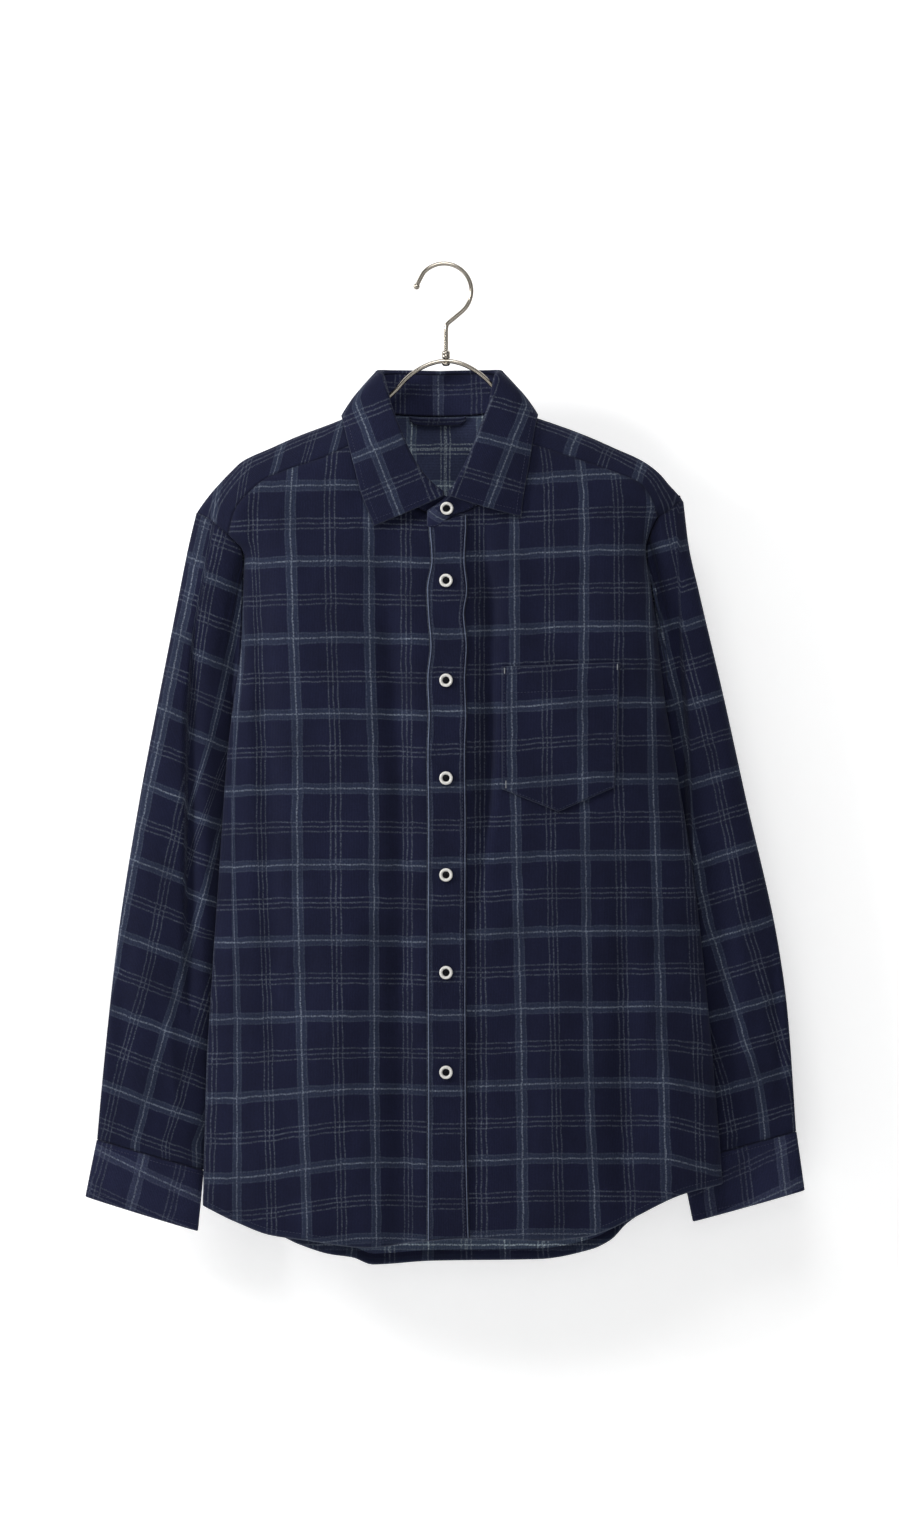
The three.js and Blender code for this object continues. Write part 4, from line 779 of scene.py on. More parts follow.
def back_skin():
    def top(u):
        x, z = back_yoke_seam(u)
        return pair(x, z - BACK_GAP)

    def bottom(u):
        reach = np.where(u < 0.5, OUTLINE("right", HEM_CORNER_Z), OUTLINE("left", HEM_CORNER_Z))
        x = (2 * u - 1) * reach * SIDE_SEAM["back"]
        return pair(x, BACK_HEM("z", x))

    ends = top(np.array([0.0, 1.0])), bottom(np.array([0.0, 1.0]))
    start = side_edge("right", "back", ends[0][0], ends[1][0][1])
    end = side_edge("left", "back", ends[0][1], ends[1][1][1])
    columns = (1 + np.sin(np.linspace(-math.pi / 2, math.pi / 2, 170))) / 2
    flat = patch(top, bottom, start, end, columns, np.linspace(0, 1, 210))
    grid = body_point(flat[..., 0], flat[..., 1], 1, "back")
    across = arc(grid * np.array([1, 1, 0]), 1)
    middle = np.argmin(abs(columns - 0.5))
    band_x, band_z = BAND_AT["back"]
    weave = pair(across - across[:, middle:middle + 1] - band_x, grid[..., 2] - band_z)
    skin = Skin(grid, CLOTH, weave, outward=away_from_middle, free=("foot",), tucked=("top",))
    skin.inner_face = (skin.from_edge["foot"] < HEM_BACK).astype(float)
    hem_bands(skin, HEM_BACK, 0.8)
    return skin


def yoke_end(side, column):
    """Where the yoke's seam meets the armhole: its way across and signed root of its drop."""
    way = ARMHOLE[side](column, ARMHOLE[side].key[-1])
    face = -1 if column == "front" else 1
    point = body_point(sign_of(side) * way, ARMHOLE[side].key[-1], face)
    drop = RIDGE("z", point[0]) - point[2]
    return point[0], face * math.sqrt(drop)


def yoke_side(side, v):
    """The shoulder's armhole edge from the front seam over the tip to the back seam."""
    front, back = yoke_end(side, "front"), yoke_end(side, "back")
    root = mix(front[1], back[1], v)
    near_x, near_root = np.where(root < 0, front[0], back[0]), np.where(root < 0, front[1], back[1])
    return pair(mix(SHOULDER_TIP[side], near_x, (root / near_root) ** 2), root)


def yoke_skin():
    seam_share = 0.36

    def top(u):
        outer = np.clip(1 - np.minimum(u, 1 - u) / seam_share, 0, 1)
        right, left = yoke_seam("right", outer), yoke_seam("left", outer)
        seam = np.where((u < 0.5)[:, None], pair(right[0], -np.sqrt(right[1])),
                        pair(left[0], -np.sqrt(left[1])))
        share = np.clip((u - seam_share) / (1 - 2 * seam_share), 0, 1)
        degrees = mix(-YOKE_CORNER, YOKE_CORNER, share)
        neck = neck_point(degrees)
        root = np.sqrt(np.maximum(RIDGE("z", neck[..., 0]) - neck[..., 2], 0))
        root = np.where(np.cos(np.radians(degrees)) < 0, -root, root)
        at_seam = ((u < seam_share) | (u > 1 - seam_share))[:, None]
        return np.where(at_seam, seam, pair(neck[..., 0], root))

    def bottom(u):
        x, z = back_yoke_seam(u)
        return pair(x, np.sqrt(RIDGE("z", x) - z))

    seam_columns = (1 - gather(50, 1.7))[::-1] * seam_share
    columns = np.concatenate([seam_columns, np.linspace(seam_share, 1 - seam_share, 60)[1:-1],
                              1 - seam_columns[::-1]])
    rows = np.concatenate([np.linspace(0, YOKE_RIDGE, 26), np.linspace(YOKE_RIDGE, 1, 34)[1:]])
    flat = patch(top, bottom, lambda v: yoke_side("right", v), lambda v: yoke_side("left", v),
                 columns, rows)
    grid = shoulder_point(flat[..., 0], flat[..., 1])
    # The check runs out along each shoulder, and its lengths start from the ridge.
    over = arc(grid, 0)
    over = over - over[np.argmin(abs(rows - YOKE_RIDGE))]
    before_ridge = np.where(flat[..., 1] < 0, over, 0)
    behind_neck = smooth((160 - abs(grid[..., 0] - NECK_SHIFT)) / 118) * (flat[..., 1] > 0)
    along = mix(over + 52.3, -69.1 - 1.056 * grid[..., 2], behind_neck)
    weave = pair(along, YOKE_CHECK("place", grid[..., 0] - 0.3 * before_ridge))
    return Skin(grid, CLOTH, weave, outward=lambda g: points(0 * g[..., 0], g[..., 1], 20))


def armhole_half(side, column, share):
    """The armhole from the shoulder tip to the underarm, over the front or the back."""
    table, face = ARMHOLE[side], -1 if column == "front" else 1
    rows_over = 4 if column == "front" else 5
    heights = table.key[::-1]
    place = share * (rows_over + len(heights) - 1)
    over = np.clip(place / rows_over, 0, 1)
    flat = yoke_side(side, mix(YOKE_RIDGE, 0 if face < 0 else 1, over))
    over_point = shoulder_point(flat[..., 0], flat[..., 1])
    z = np.interp(place - rows_over, range(len(heights)), heights)
    down_point = body_point(sign_of(side) * table(column, z), z, face)
    return np.where((place < rows_over)[..., None], over_point, down_point)


def sleeve_lines(side, along):
    """A sleeve's outer line, and its inner line beside the body."""
    sign, cuff, form = sign_of(side), CUFF[side], SLEEVE_FORM[side]
    tip_z = RIDGE("z", SHOULDER_TIP[side])
    outer_z = mix(tip_z, cuff["top_outer"][2] + SEAM, along)
    inner_z = mix(ARMHOLE[side].key[0], cuff["top_inner"][2] + SEAM, along**1.5)
    outer = points(sign * SLEEVE_OUTER[side]("x", outer_z), form("outer", along), outer_z)
    inner = points(sign * SLEEVE_INNER[side]("x", inner_z), form("inner", along), inner_z)
    return outer, inner


def sleeve_ring(side, turn, along):
    outer, inner = sleeve_lines(side, along)
    point = mix(inner, outer, ((1 + np.cos(2 * math.pi * turn)) / 2)[..., None])
    point[..., 1] -= SLEEVE_FORM[side]("depth", along) * np.sin(2 * math.pi * turn)
    return point


def sleeve_point(side, turn, along):
    """A sleeve's surface: turn 0 is its outer line, 0.5 its inner line, the front comes first."""
    sign = sign_of(side)
    front = armhole_half(side, "front", np.clip(turn * 2, 0, 1))
    back = armhole_half(side, "back", np.clip(2 - turn * 2, 0, 1))
    edge = np.where((turn <= 0.5)[..., None], front, back)
    below = np.clip((ARMHOLE[side].key[-1] + 3 - edge[..., 2]) / 6, 0, 1)
    edge = edge + points(sign * mix(0.6, 1.9, below), 0, mix(-0.6, -0.2, below))
    ends = [armhole_half(side, "front", np.array(float(k))) for k in (0, 1)]
    foot = sleeve_lines(side, SLEEVE_HEAD)
    outer, inner = sleeve_lines(side, along)
    share = np.clip(along / SLEEVE_HEAD, 0, 1)[..., None]
    face, level = np.sin(2 * math.pi * turn), np.cos(2 * math.pi * turn)
    head = mix(edge, sleeve_ring(side, turn, SLEEVE_HEAD + 0 * along), share)
    head = head + (outer - mix(ends[0], foot[0], share)) * (((1 + level) / 2) ** 2)[..., None]
    head = head + (inner - mix(ends[1], foot[1], share)) * (((1 - level) / 2) ** 2)[..., None]
    point = np.where((along < SLEEVE_HEAD)[..., None], head, sleeve_ring(side, turn, along))
    piece = "sleeve_" + side
    fold = (fold_height(piece, point[..., 0], point[..., 2]) + unevenness(
        piece, point[..., 0], point[..., 2])) * smooth(along / 0.3)
    weight = np.where(face > 0, 1, 0.7) * smooth((1 - along) / 0.12)
    point[..., 1] -= fold * face * weight
    return point


def sleeve_weave(side, grid, turn):
    """The check's place on a sleeve: across from its outer line, and along the line."""
    sign, check, z = sign_of(side), SLEEVE_CHECK[side], grid[..., 2]
    first, spacing, fall, lower = SLEEVE_BANDS[side]
    inwards = SLEEVE_OUTER[side]("x", z) - sign * grid[..., 0]
    fade = smooth((z + 640) / 80)
    past = smooth((check("crease", z) * sign - sign * grid[..., 0]) / 2.5 + 0.5) * (turn <= 0.5)
    before = (inwards - check("band", z)) / check("narrow", z)
    beyond = (inwards - check("past", z)) / check("past_narrow", z)
    across = np.where(turn <= 0.5, mix(before, beyond, past), -inwards - 20)
    level = z + fall * inwards + lower * past * fade
    return pair(across, (level - first) * REPEAT_ALONG / spacing)


def sleeve_skin(side):
    turn = np.linspace(-0.5, 0.5, 161)
    turn = np.where(turn < 0, turn + 1, turn)[None, :] + np.zeros((170, 1))
    along = np.linspace(0, 1, 170)[:, None] + 0 * turn
    grid = sleeve_point(side, turn, along)
    grid[:, -1] = grid[:, 0]
    return Skin(grid, CLOTH, sleeve_weave(side, grid, turn), ring=True,
                outward=lambda g: g - g.mean(axis=1, keepdims=True), tucked=("top",))


def cuff_point(side, share, down):
    cuff = {name: np.array(place, float) for name, place in CUFF[side].items()}
    angle = 2 * math.pi * (CUFF_OPENING + share * (1 + CUFF_LAP))
    outer = mix(cuff["top_outer"], cuff["end_outer"], down[..., None])
    inner = mix(cuff["top_inner"], cuff["end_inner"], down[..., None])
    point = mix(inner, outer, ((1 + np.cos(angle)) / 2)[..., None])
    under, over = smooth(1 - share / 0.16), smooth(1 - (1 - share) / 0.16)
    point[..., 1] -= (CUFF_DEPTH + 1.5 * (over - under)) * np.sin(angle)
    point[..., 0] = sign_of(side) * (point[..., 0] + 1.5 * (over - under) * np.cos(angle))
    return point


def cuff_skin(side):
    share, down = shares(130, 34)
    grid = cuff_point(side, share, down)
    crown = np.sin(math.pi * np.clip(down, 0, 1)) * 0.8
    lengths = lengths_from(grid)
    weave = lengths + np.array(CUFF_CHECK[side]) + pair(0, 0.16 * abs(lengths[..., 0] - 48))
    centre = grid.mean(axis=1, keepdims=True)
    skin = Skin(grid, DOUBLE, weave, outward=lambda g: g - centre,
                free=("foot", "start", "end"))
    skin.thickness = skin.thickness + 0.25 * crown
    return skin


def sleeve_placket_skin(side):
    turn = CUFF_OPENING + np.linspace(-0.045, 0.045, 14)[None, :] + np.zeros((40, 1))
    along = np.linspace(0.8, 0.992, 40)[:, None] + 0 * turn
    here = sleeve_point(side, turn, along)
    across = sleeve_point(side, turn + 0.01, along) - sleeve_point(side, turn - 0.01, along)
    down = sleeve_point(side, turn, along + 0.01) - sleeve_point(side, turn, along - 0.01)
    normal = unit(np.cross(across, down))
    normal = normal * np.sign(normal[..., 1:2])
    grid = here + normal * (CLOTH + SEAM + 0.4)
    return Skin(grid, CLOTH, lengths_from(grid) + np.array([30, 20]),
                outward=lambda g: points(0 * g[..., 0], 1, 0), free=("top", "start", "end"))


# ---- Collar -----------------------------------------------------------------------------------
def collar_step(degrees):
    """How far the collar's ends move out or in where they lap at the front."""
    near = smooth((abs(degrees) - 140) / 36)
    return np.where(degrees > 0, -LAP, LAP) * near


def collar_lines(degrees):
    """Neck seam, roll line and leaf edge at each place round the collar."""
    sign, at = np.where(degrees < 0, -1, 1), abs(degrees)
    step = points(0, collar_step(degrees), 0 * at)
    neck = neck_point(degrees) + step
    roll = points(COLLAR("mid", at) + sign * COLLAR("x", at), COLLAR("y", at), COLLAR("z", at)) + step
    edge_x = COLLAR("edge_mid", at) + sign * COLLAR("reach", at)
    drop = COLLAR("drop", at) + sign * COLLAR("tilt", at)
    root = np.sign(drop) * np.sqrt(abs(drop))
    across = shoulder_point(edge_x + 1, root) - shoulder_point(edge_x - 1, root)
    down = shoulder_point(edge_x, root + 0.2) - shoulder_point(edge_x, root - 0.2)
    out = unit(np.cross(across, down))
    turned = np.where(abs(root) > 1, out[..., 1] * root < 0, out[..., 2] < 0)
    out = np.where(turned[..., None], -out, out)
    edge = shoulder_point(edge_x, root) + out * LEAF_OFF
    seam = unit(neck_point(degrees + 1) - neck_point(degrees - 1))
    rise = roll - neck
    rise = unit(rise - seam * np.sum(rise * seam, axis=-1, keepdims=True))
    neck = neck + rise * mix(0.95, 2, np.sin(np.radians(at)) ** 2)[..., None]
    return neck, roll, edge


def collar_frame(degrees):
    neck, roll, edge = collar_lines(degrees)
    up = unit(roll - neck)
    ahead = collar_lines(degrees + 1)[1] - collar_lines(degrees - 1)[1]
    out = unit(np.cross(up, ahead))
    middle = points(NECK_SHIFT, -10, roll[..., 2])
    out = out * np.where(np.sum(out * (roll - middle), axis=-1) < 0, -1, 1)[..., None]
    return neck, roll, edge, up, out


def stand_skin():
    degrees = np.linspace(-STAND_REACH, STAND_REACH, 200)
    neck, roll, _, up, _ = collar_frame(degrees)
    past = np.clip((abs(degrees) - 176) / (STAND_REACH - 176), 0, 1)[:, None]
    top = roll + up * (-LEAF_ROLL - 0.3 - 6.65 * past**2)
    foot = mix(neck, top, 0.12 * past**3)
    over = smooth((degrees - 172) / 20)[:, None]  # the end that laps over hangs a little lower
    top = top + over * np.array([0, -1.5, -3.0])
    foot = foot + over * np.array([0, -3.2, -13.5])
    share = np.linspace(0, 1, 22)[:, None, None]
    grid = mix(foot[None], top[None], share)
    weave = lengths_from(grid, column_zero=100) + np.array([2, 57.8])
    middle = np.array([NECK_SHIFT, -10, -150])
    return Skin(grid, DOUBLE, weave, outward=lambda g: (g - middle) * np.array([1, 1, 0]),
                free=("start", "end"))


def leaf_skin():
    degrees = np.linspace(-178, 178, 240)
    share = np.concatenate([np.linspace(0, 0.3, 14)[:-1], np.linspace(0.3, 1, 40)])[:, None, None]
    _, roll, edge, up, out = (each[None] for each in collar_frame(degrees))
    centre = roll - up * LEAF_ROLL + out * LEAF_ROLL
    bend = np.minimum(share / 0.3, 1) * math.pi
    on_roll = centre + LEAF_ROLL * (up * np.sin(bend) - out * np.cos(bend))
    fall = np.maximum((share - 0.3) / 0.7, 0)
    grid = mix(on_roll, edge, fall) + out * 3 * np.sin(math.pi * fall)
    # Behind the neck the check follows the roll, and each leaf has its own way in front.
    around = arc(grid[20:21], 1)
    behind = pair(around - around[:, 120:121] + 0 * grid[..., 0], arc(grid, 0) + 20)
    x, z = grid[..., 0], grid[..., 2] + 164.5
    right = pair((x + 65) * 0.93 + z * 0.366, (x + 65) * 0.366 - z * 0.93 - 2.9)
    left = pair((x - 57.5) * 0.937 - z * 0.35, (57.5 - x) * 0.26 - z * 0.966 + 2)
    ahead = np.where((degrees < 0)[None, :, None], right, left)
    weave = mix(behind, ahead, smooth((abs(degrees) - 72) / 24)[None, :, None])
    return Skin(grid, DOUBLE, weave, free=("foot", "start", "end"),
                outward=lambda g: points(g[..., 0] - NECK_SHIFT, g[..., 1] + 10, 0))


# ---- What lies on the fronts --------------------------------------------------------------------
def on_front(x, z):
    point = body_point(x, z, -1)
    point[..., 1] += lap_step("left", x)
    return point


def lifted(x, z, distance):
    """Points over the fronts along the cloth's own normal."""
    nudge = 0.5
    across = on_front(x + nudge, z) - on_front(x - nudge, z)
    down = on_front(x, z - nudge) - on_front(x, z + nudge)
    normal = unit(np.cross(across, down))
    normal = normal * np.where(normal[..., 1:2] > 0, -1, 1)
    return on_front(x, z) + normal * distance


def placket_skin():
    share, down = shares(20, 260)
    x = 0.5 + mix(-PLACKET_HALF, PLACKET_HALF, share)
    top = neck_point(180)[2] + mix(-8.5, 1.0, np.clip((x + 17) / 34, 0, 1))
    z = mix(top, FRONT_HEM("z", x) + 0.5, down)
    sway = mix(PLACKET_SWAY("left", z), PLACKET_SWAY("right", z), share)
    grid = lifted(x + sway, z, (CLOTH + DOUBLE) / 2 + SEAM)
    band_x, band_z = BAND_AT["placket"]
    weave = pair(x - band_x, z - band_z - 0.6 * check_lift("left", x, z))
    return Skin(grid, DOUBLE, weave, outward=lambda g: points(0 * g[..., 0], -1, 0),
                free=("start", "end"))


def pocket_skin():
    u, v = shares(61, 71)
    p = POCKET
    x = mix(p["inner"], p["outer"] - 4.5 * v, u)
    head = p["top"] + p["rise"] * u
    foot = p["top"] - p["side"] + p["rise"] * 0.4 * u - p["point"] * (1 - abs(2 * u - 1))
    grid = lifted(x, mix(head, foot, v), (CLOTH + DOUBLE) / 2 + SEAM + 0.15)
    band_x, band_z = BAND_AT["left"]
    weave = pair((x - band_x + POCKET_SHIFT[0]) * LEFT_CLOSER,
                 grid[..., 2] - band_z - left_rise(x) + POCKET_SHIFT[1])
    return Skin(grid, DOUBLE, weave, outward=lambda g: points(0 * g[..., 0], -1, 0),
                free=("top", "foot", "start", "end"))


def loop_skin():
    u, v = shares(50, 8)
    x = mix(-33, 18, u)
    slope = 5 * abs(2 * u - 1) ** 6
    z = mix(-136.5 + slope * 0.4, -143 + slope, v)
    grid = points(x, body_y(x, z, 1) - CLOTH - SEAM - 0.6 - 1.4 * np.sin(math.pi * u), z)
    return Skin(grid, CLOTH, lengths_from(grid) + np.array([12, 37.5]),
                outward=lambda g: points(0 * g[..., 0], -1, 0), free=("top", "foot"))


# ---- Materials ----------------------------------------------------------------------------------
class Nodes:
    """Places and joins the nodes of one tree."""

    def __init__(self, tree):
        self.tree = tree

    def add(self, kind, **settings):
        made = self.tree.nodes.new(kind)
        for name, value in settings.items():
            setattr(made, name, value)
        return made

    def feed(self, socket, value):
        if isinstance(value, bpy.types.NodeSocket):
            self.tree.links.new(value, socket)
        else:
            socket.default_value = value

    def math(self, operation, *values, clamp=False):
        made = self.add("ShaderNodeMath", operation=operation, use_clamp=clamp)
        for socket, value in zip(made.inputs, values):
            self.feed(socket, value)
        return made.outputs[0]

    def ramp(self, value, low, high, to_low=0.0, to_high=1.0):
        """A smooth step of a value between two levels."""
        made = self.add("ShaderNodeMapRange", interpolation_type="SMOOTHSTEP")
        for name, each in zip(("Value", "From Min", "From Max", "To Min", "To Max"),
                              (value, low, high, to_low, to_high)):
            self.feed(made.inputs[name], each)
        return made.outputs["Result"]

    def blend(self, share, first, second, kind="MIX"):
        made = self.add("ShaderNodeMix", data_type="RGBA", blend_type=kind)
        self.feed(made.inputs["Factor"], share)
        self.feed(made.inputs[6], first)
        self.feed(made.inputs[7], second)
        return made.outputs[2]

    def noise(self, place, scale, detail=2.0, roughness=0.5):
        made = self.add("ShaderNodeTexNoise")
        self.fill(made, Vector=place, Scale=scale, Detail=detail, Roughness=roughness)
        return made.outputs["Fac"]

    def scaled(self, place, x, y, z=1.0):
        made = self.add("ShaderNodeVectorMath", operation="MULTIPLY")
        self.feed(made.inputs[0], place)
        made.inputs[1].default_value = (x, y, z)
        return made.outputs[0]

    def split(self, place):
        made = self.add("ShaderNodeSeparateXYZ")
        self.feed(made.inputs[0], place)
        return made.outputs

    def fill(self, node, **values):
        """Feeds a node's inputs by their names, with _ for a space."""
        for name, value in values.items():
            self.feed(node.inputs[name.replace("_", " ")], value)

    def group(self, group, **values):
        made = self.add("ShaderNodeGroup", node_tree=group)
        self.fill(made, **values)
        return made.outputs

    def bump(self, surface, height, strength, distance):
        made = self.add("ShaderNodeBump")
        self.fill(made, Strength=strength, Distance=distance, Height=height)
        self.feed(surface.inputs["Normal"], made.outputs[0])


def colour(red, green, blue):
    """A colour from its display values, 0 to 255."""
    def linear(value):
        share = value / 255
        return share / 12.92 if share <= 0.04045 else ((share + 0.055) / 1.055) ** 2.4
    return (linear(red), linear(green), linear(blue), 1.0)


def new_group(name, inputs, outputs):
    """A node group; inputs are (name, kind, value) and outputs are (name, kind)."""
    tree = bpy.data.node_groups.new(name, "ShaderNodeTree")
    for label, kind, value in inputs:
        socket = tree.interface.new_socket(label, in_out="INPUT", socket_type="NodeSocket" + kind)
        if value is not None:
            socket.default_value = value
    for label, kind in outputs:
        tree.interface.new_socket(label, in_out="OUTPUT", socket_type="NodeSocket" + kind)
    nodes = Nodes(tree)
    return tree, nodes, nodes.add("NodeGroupInput").outputs, nodes.add("NodeGroupOutput").inputs


def window_check():
    """The woven check: a soft band with a bright thread line, and between bands three fine lines."""
    tree, n, given, out = new_group("window check", [
        ("Place", "Vector", None), ("Repeat across", "Float", REPEAT_ACROSS * MM),
        ("Repeat along", "Float", REPEAT_ALONG * MM), ("Middle line", "Float", 1.0 * MM),
    ], [("Band", "Float"), ("Line", "Float")])
    wander = n.noise(n.scaled(given["Place"], 1, 1), 55, 1)
    drift = n.math("MULTIPLY", n.math("SUBTRACT", wander, 0.5), 2.6 * MM)
    speckle = n.noise(given["Place"], 620, 2, 0.7)
    across, along, _ = n.split(given["Place"])
    bands, lines = [], []
    for coordinate, repeat, fade in ((across, "Repeat across", 0.84), (along, "Repeat along", 0.78)):
        shifted = n.math("ADD", coordinate, drift)
        turn = n.math("DIVIDE", shifted, given[repeat])
        nearest = n.math("ABSOLUTE", n.math("SUBTRACT", turn, n.math("ROUND", turn)))
        off_band = n.math("MULTIPLY", nearest, given[repeat])
        half = n.math("MULTIPLY", given[repeat], 0.5)
        off_lines = n.math("SUBTRACT", half, off_band)
        band = n.ramp(off_band, 4.7 * MM, 5.5 * MM, 1.0, 0.0)
        rim = n.ramp(n.math("ABSOLUTE", n.math("SUBTRACT", off_band, 4.6 * MM)),
                     0.3 * MM, 1.0 * MM, 0.14, 0.0)
        bright = n.ramp(off_band, 0.4 * MM, 1.0 * MM, 1.0, 0.0)
        inside = n.math("SUBTRACT", given["Middle line"], off_lines)
        middle = n.math("MULTIPLY", n.math("DIVIDE", inside, 0.7 * MM, clamp=True), 0.46)
        beside = n.ramp(n.math("ABSOLUTE", n.math("SUBTRACT", off_lines, 4.4 * MM)),
                        0.3 * MM, 1.0 * MM, 0.42, 0.0)
        bands.append(n.math("MULTIPLY", band, fade))
        top = n.math("MAXIMUM", n.math("MAXIMUM", bright, rim), n.math("MAXIMUM", middle, beside))
        lines.append(n.math("MULTIPLY", top, fade))
    broken = n.ramp(speckle, 0.34, 0.66, 0.1, 1.6)

    def both(pair_of):
        clear = [n.math("SUBTRACT", 1.0, n.math("MULTIPLY", each, 0.85)) for each in pair_of]
        return n.math("SUBTRACT", 1.0, n.math("MULTIPLY", *clear))

    soft = n.ramp(speckle, 0.3, 0.7, 0.6, 1.3)
    n.feed(out["Band"], n.math("MULTIPLY", both(bands), soft))
    n.feed(out["Line"], n.math("MULTIPLY", both(lines), broken))
    return tree


def wale():
    """Fine corduroy ribs that run along the grain, a little uneven, with a short nap."""
    tree, n, given, out = new_group("wale", [
        ("Place", "Vector", None), ("Pitch", "Float", 1.45 * MM),
    ], [("Height", "Float"), ("Rib", "Float"), ("Nap", "Float")])
    across, _, _ = n.split(given["Place"])
    sway = n.noise(n.scaled(given["Place"], 1, 0.2), 260, 2)
    place = n.math("ADD", across, n.math("MULTIPLY", n.math("SUBTRACT", sway, 0.5), 0.5 * MM))
    turn = n.math("MULTIPLY", n.math("DIVIDE", place, given["Pitch"]), 2 * math.pi)
    rib = n.math("MULTIPLY_ADD", n.math("SINE", turn), 0.5, 0.5)
    rib = n.math("POWER", rib, 0.6)
    fine = n.noise(n.scaled(given["Place"], 1, 0.45), 2600, 3, 0.65)
    tufts = n.noise(given["Place"], 520, 3, 0.75)
    nap = n.math("ADD", n.math("MULTIPLY", fine, 0.35), n.math("MULTIPLY", tufts, 0.65))
    n.feed(out["Rib"], rib)
    n.feed(out["Nap"], nap)
    n.feed(out["Height"], n.math("ADD", n.math("MULTIPLY", rib, 0.7), n.math("MULTIPLY", nap, 0.5)))
    return tree


def wear():
    """Pale wear along free edges, and broad uneven fading of the dye."""
    tree, n, given, out = new_group("wear", [
        ("Place", "Vector", None), ("Trim", "Vector", None), ("Edge width", "Float", 1.1 * MM),
    ], [("Edge", "Float"), ("Fading", "Float"), ("Seam", "Float")])
    free, sewn, _ = n.split(given["Trim"])
    ragged = n.noise(given["Place"], 700, 2, 0.7)
    reach = n.math("MULTIPLY", given["Edge width"], n.ramp(ragged, 0.25, 0.75, 0.35, 1.35))
    edge = n.math("SUBTRACT", 1.0, n.math("DIVIDE", free, reach, clamp=True))
    n.feed(out["Edge"], n.math("POWER", edge, 0.7))
    n.feed(out["Fading"], n.noise(given["Place"], 18, 4, 0.6))
    n.feed(out["Seam"], n.ramp(sewn, 0.0, 2.2 * MM, 1.0, 0.0))
    return tree


def shader_of(name):
    material = bpy.data.materials.new(name)
    material.use_nodes = True
    nodes = Nodes(material.node_tree)
    return material, nodes, material.node_tree.nodes["Principled BSDF"]


# Strips along a pressed edge: distance from it, half width, tone and strength; the dark ones are
# painted shadow on the very edge and painted shade in a groove, the pale one is wear.
PIPED_WEAR_AND_SHADE_STRIPS = ((0.1, 0.5, (12, 12, 20), 0.8), (1.1, 0.6, (128, 140, 166), 0.6),
                (2.5, 0.8, (10, 10, 20), 0.6))
SEAM_TONE = (20, 21, 34)


def corduroy(name, tones, clear, edge_wear, hem=0.0, piped=False, middle=1.0):
    """Corduroy in tones of ground, band and line, with its check, ribs, nap and wear."""
    ground, band, bright = (colour(*tone) for tone in tones)
    material, n, surface = shader_of(name)
    place = n.add("ShaderNodeUVMap", uv_map="weave").outputs[0]
    trim = n.add("ShaderNodeUVMap", uv_map="trim").outputs[0]
    check = n.group(GROUPS["check"], Place=place, Middle_line=middle * MM)
    ribs = n.group(GROUPS["wale"], Place=place)
    worn = n.group(GROUPS["wear"], Place=place, Trim=trim)
    cloth = n.blend(n.math("MULTIPLY", check["Band"], 0.75), ground, band)
    clearness = n.ramp(worn["Fading"], 0.25, 0.75, 0.68 * clear, 1.12 * clear)
    cloth = n.blend(n.math("MULTIPLY", check["Line"], clearness, clamp=True), cloth, bright)
    faded = n.ramp(worn["Fading"], 0.2, 0.8, 0.82, 1.16)
    # Painted shade: the colour darkens in the valleys between the ribs; the fading and the nap are the
    # cloth's own uneven tone.
    painted_rib_shade = n.math("MULTIPLY_ADD", ribs["Rib"], 0.34, 0.80)
    napped = n.math("MULTIPLY_ADD", ribs["Nap"], 1.7, 0.15)
    fading_nap_and_rib_shade = n.math("MULTIPLY", n.math("MULTIPLY", faded, painted_rib_shade), napped)
    tint = n.add("ShaderNodeCombineColor")
    for socket in tint.inputs[:3]:
        n.feed(socket, fading_nap_and_rib_shade)
    cloth = n.blend(1.0, cloth, tint.outputs[0], "MULTIPLY")
    free, _, _ = n.split(trim)
    if hem:
        turned = n.ramp(free, (hem - 0.6) * MM, (hem + 0.6) * MM, 0.14, 0.0)
        cloth = n.blend(turned, cloth, band)
    if piped:  # the pressed edges wear pale beside a dark groove, and the stitching behind it too
        # the dark strips are painted shadow on the very edge and painted shade in the groove; the pale
        # strip is wear
        uneven = n.ramp(ribs["Nap"], 0.3, 0.7, 0.55, 1.15)
        for reach, half, tone, share in PIPED_WEAR_AND_SHADE_STRIPS:
            off = n.math("ABSOLUTE", n.math("SUBTRACT", free, reach * MM))
            strip = n.ramp(off, half * 0.5 * MM, half * MM, share, 0.0)
            cloth = n.blend(n.math("MULTIPLY", strip, uneven, clamp=True), cloth, colour(*tone))
    cloth = n.blend(n.math("MULTIPLY", worn["Seam"], 0.3), cloth, colour(*SEAM_TONE))
    cloth = n.blend(n.math("MULTIPLY", worn["Edge"], edge_wear), cloth, bright)
    n.fill(surface, Base_Color=cloth, Roughness=n.math("MULTIPLY_ADD", ribs["Nap"], 0.2, 0.78),
           Sheen_Weight=0.06, Sheen_Roughness=0.5, Sheen_Tint=(0.55, 0.62, 0.85, 1),
           Specular_IOR_Level=0.12)
    n.bump(surface, ribs["Height"], 0.55, 0.35 * MM)
    return material


def thread(name, tone):
    material, n, surface = shader_of(name)
    place = n.add("ShaderNodeTexCoord").outputs["Object"]
    shaded = colour(*[value * 0.8 for value in tone])
    twist = n.blend(n.noise(place, 2400, 2), shaded, colour(*tone))
    n.fill(surface, Base_Color=twist, Roughness=0.7, Specular_IOR_Level=0.15)
    return material


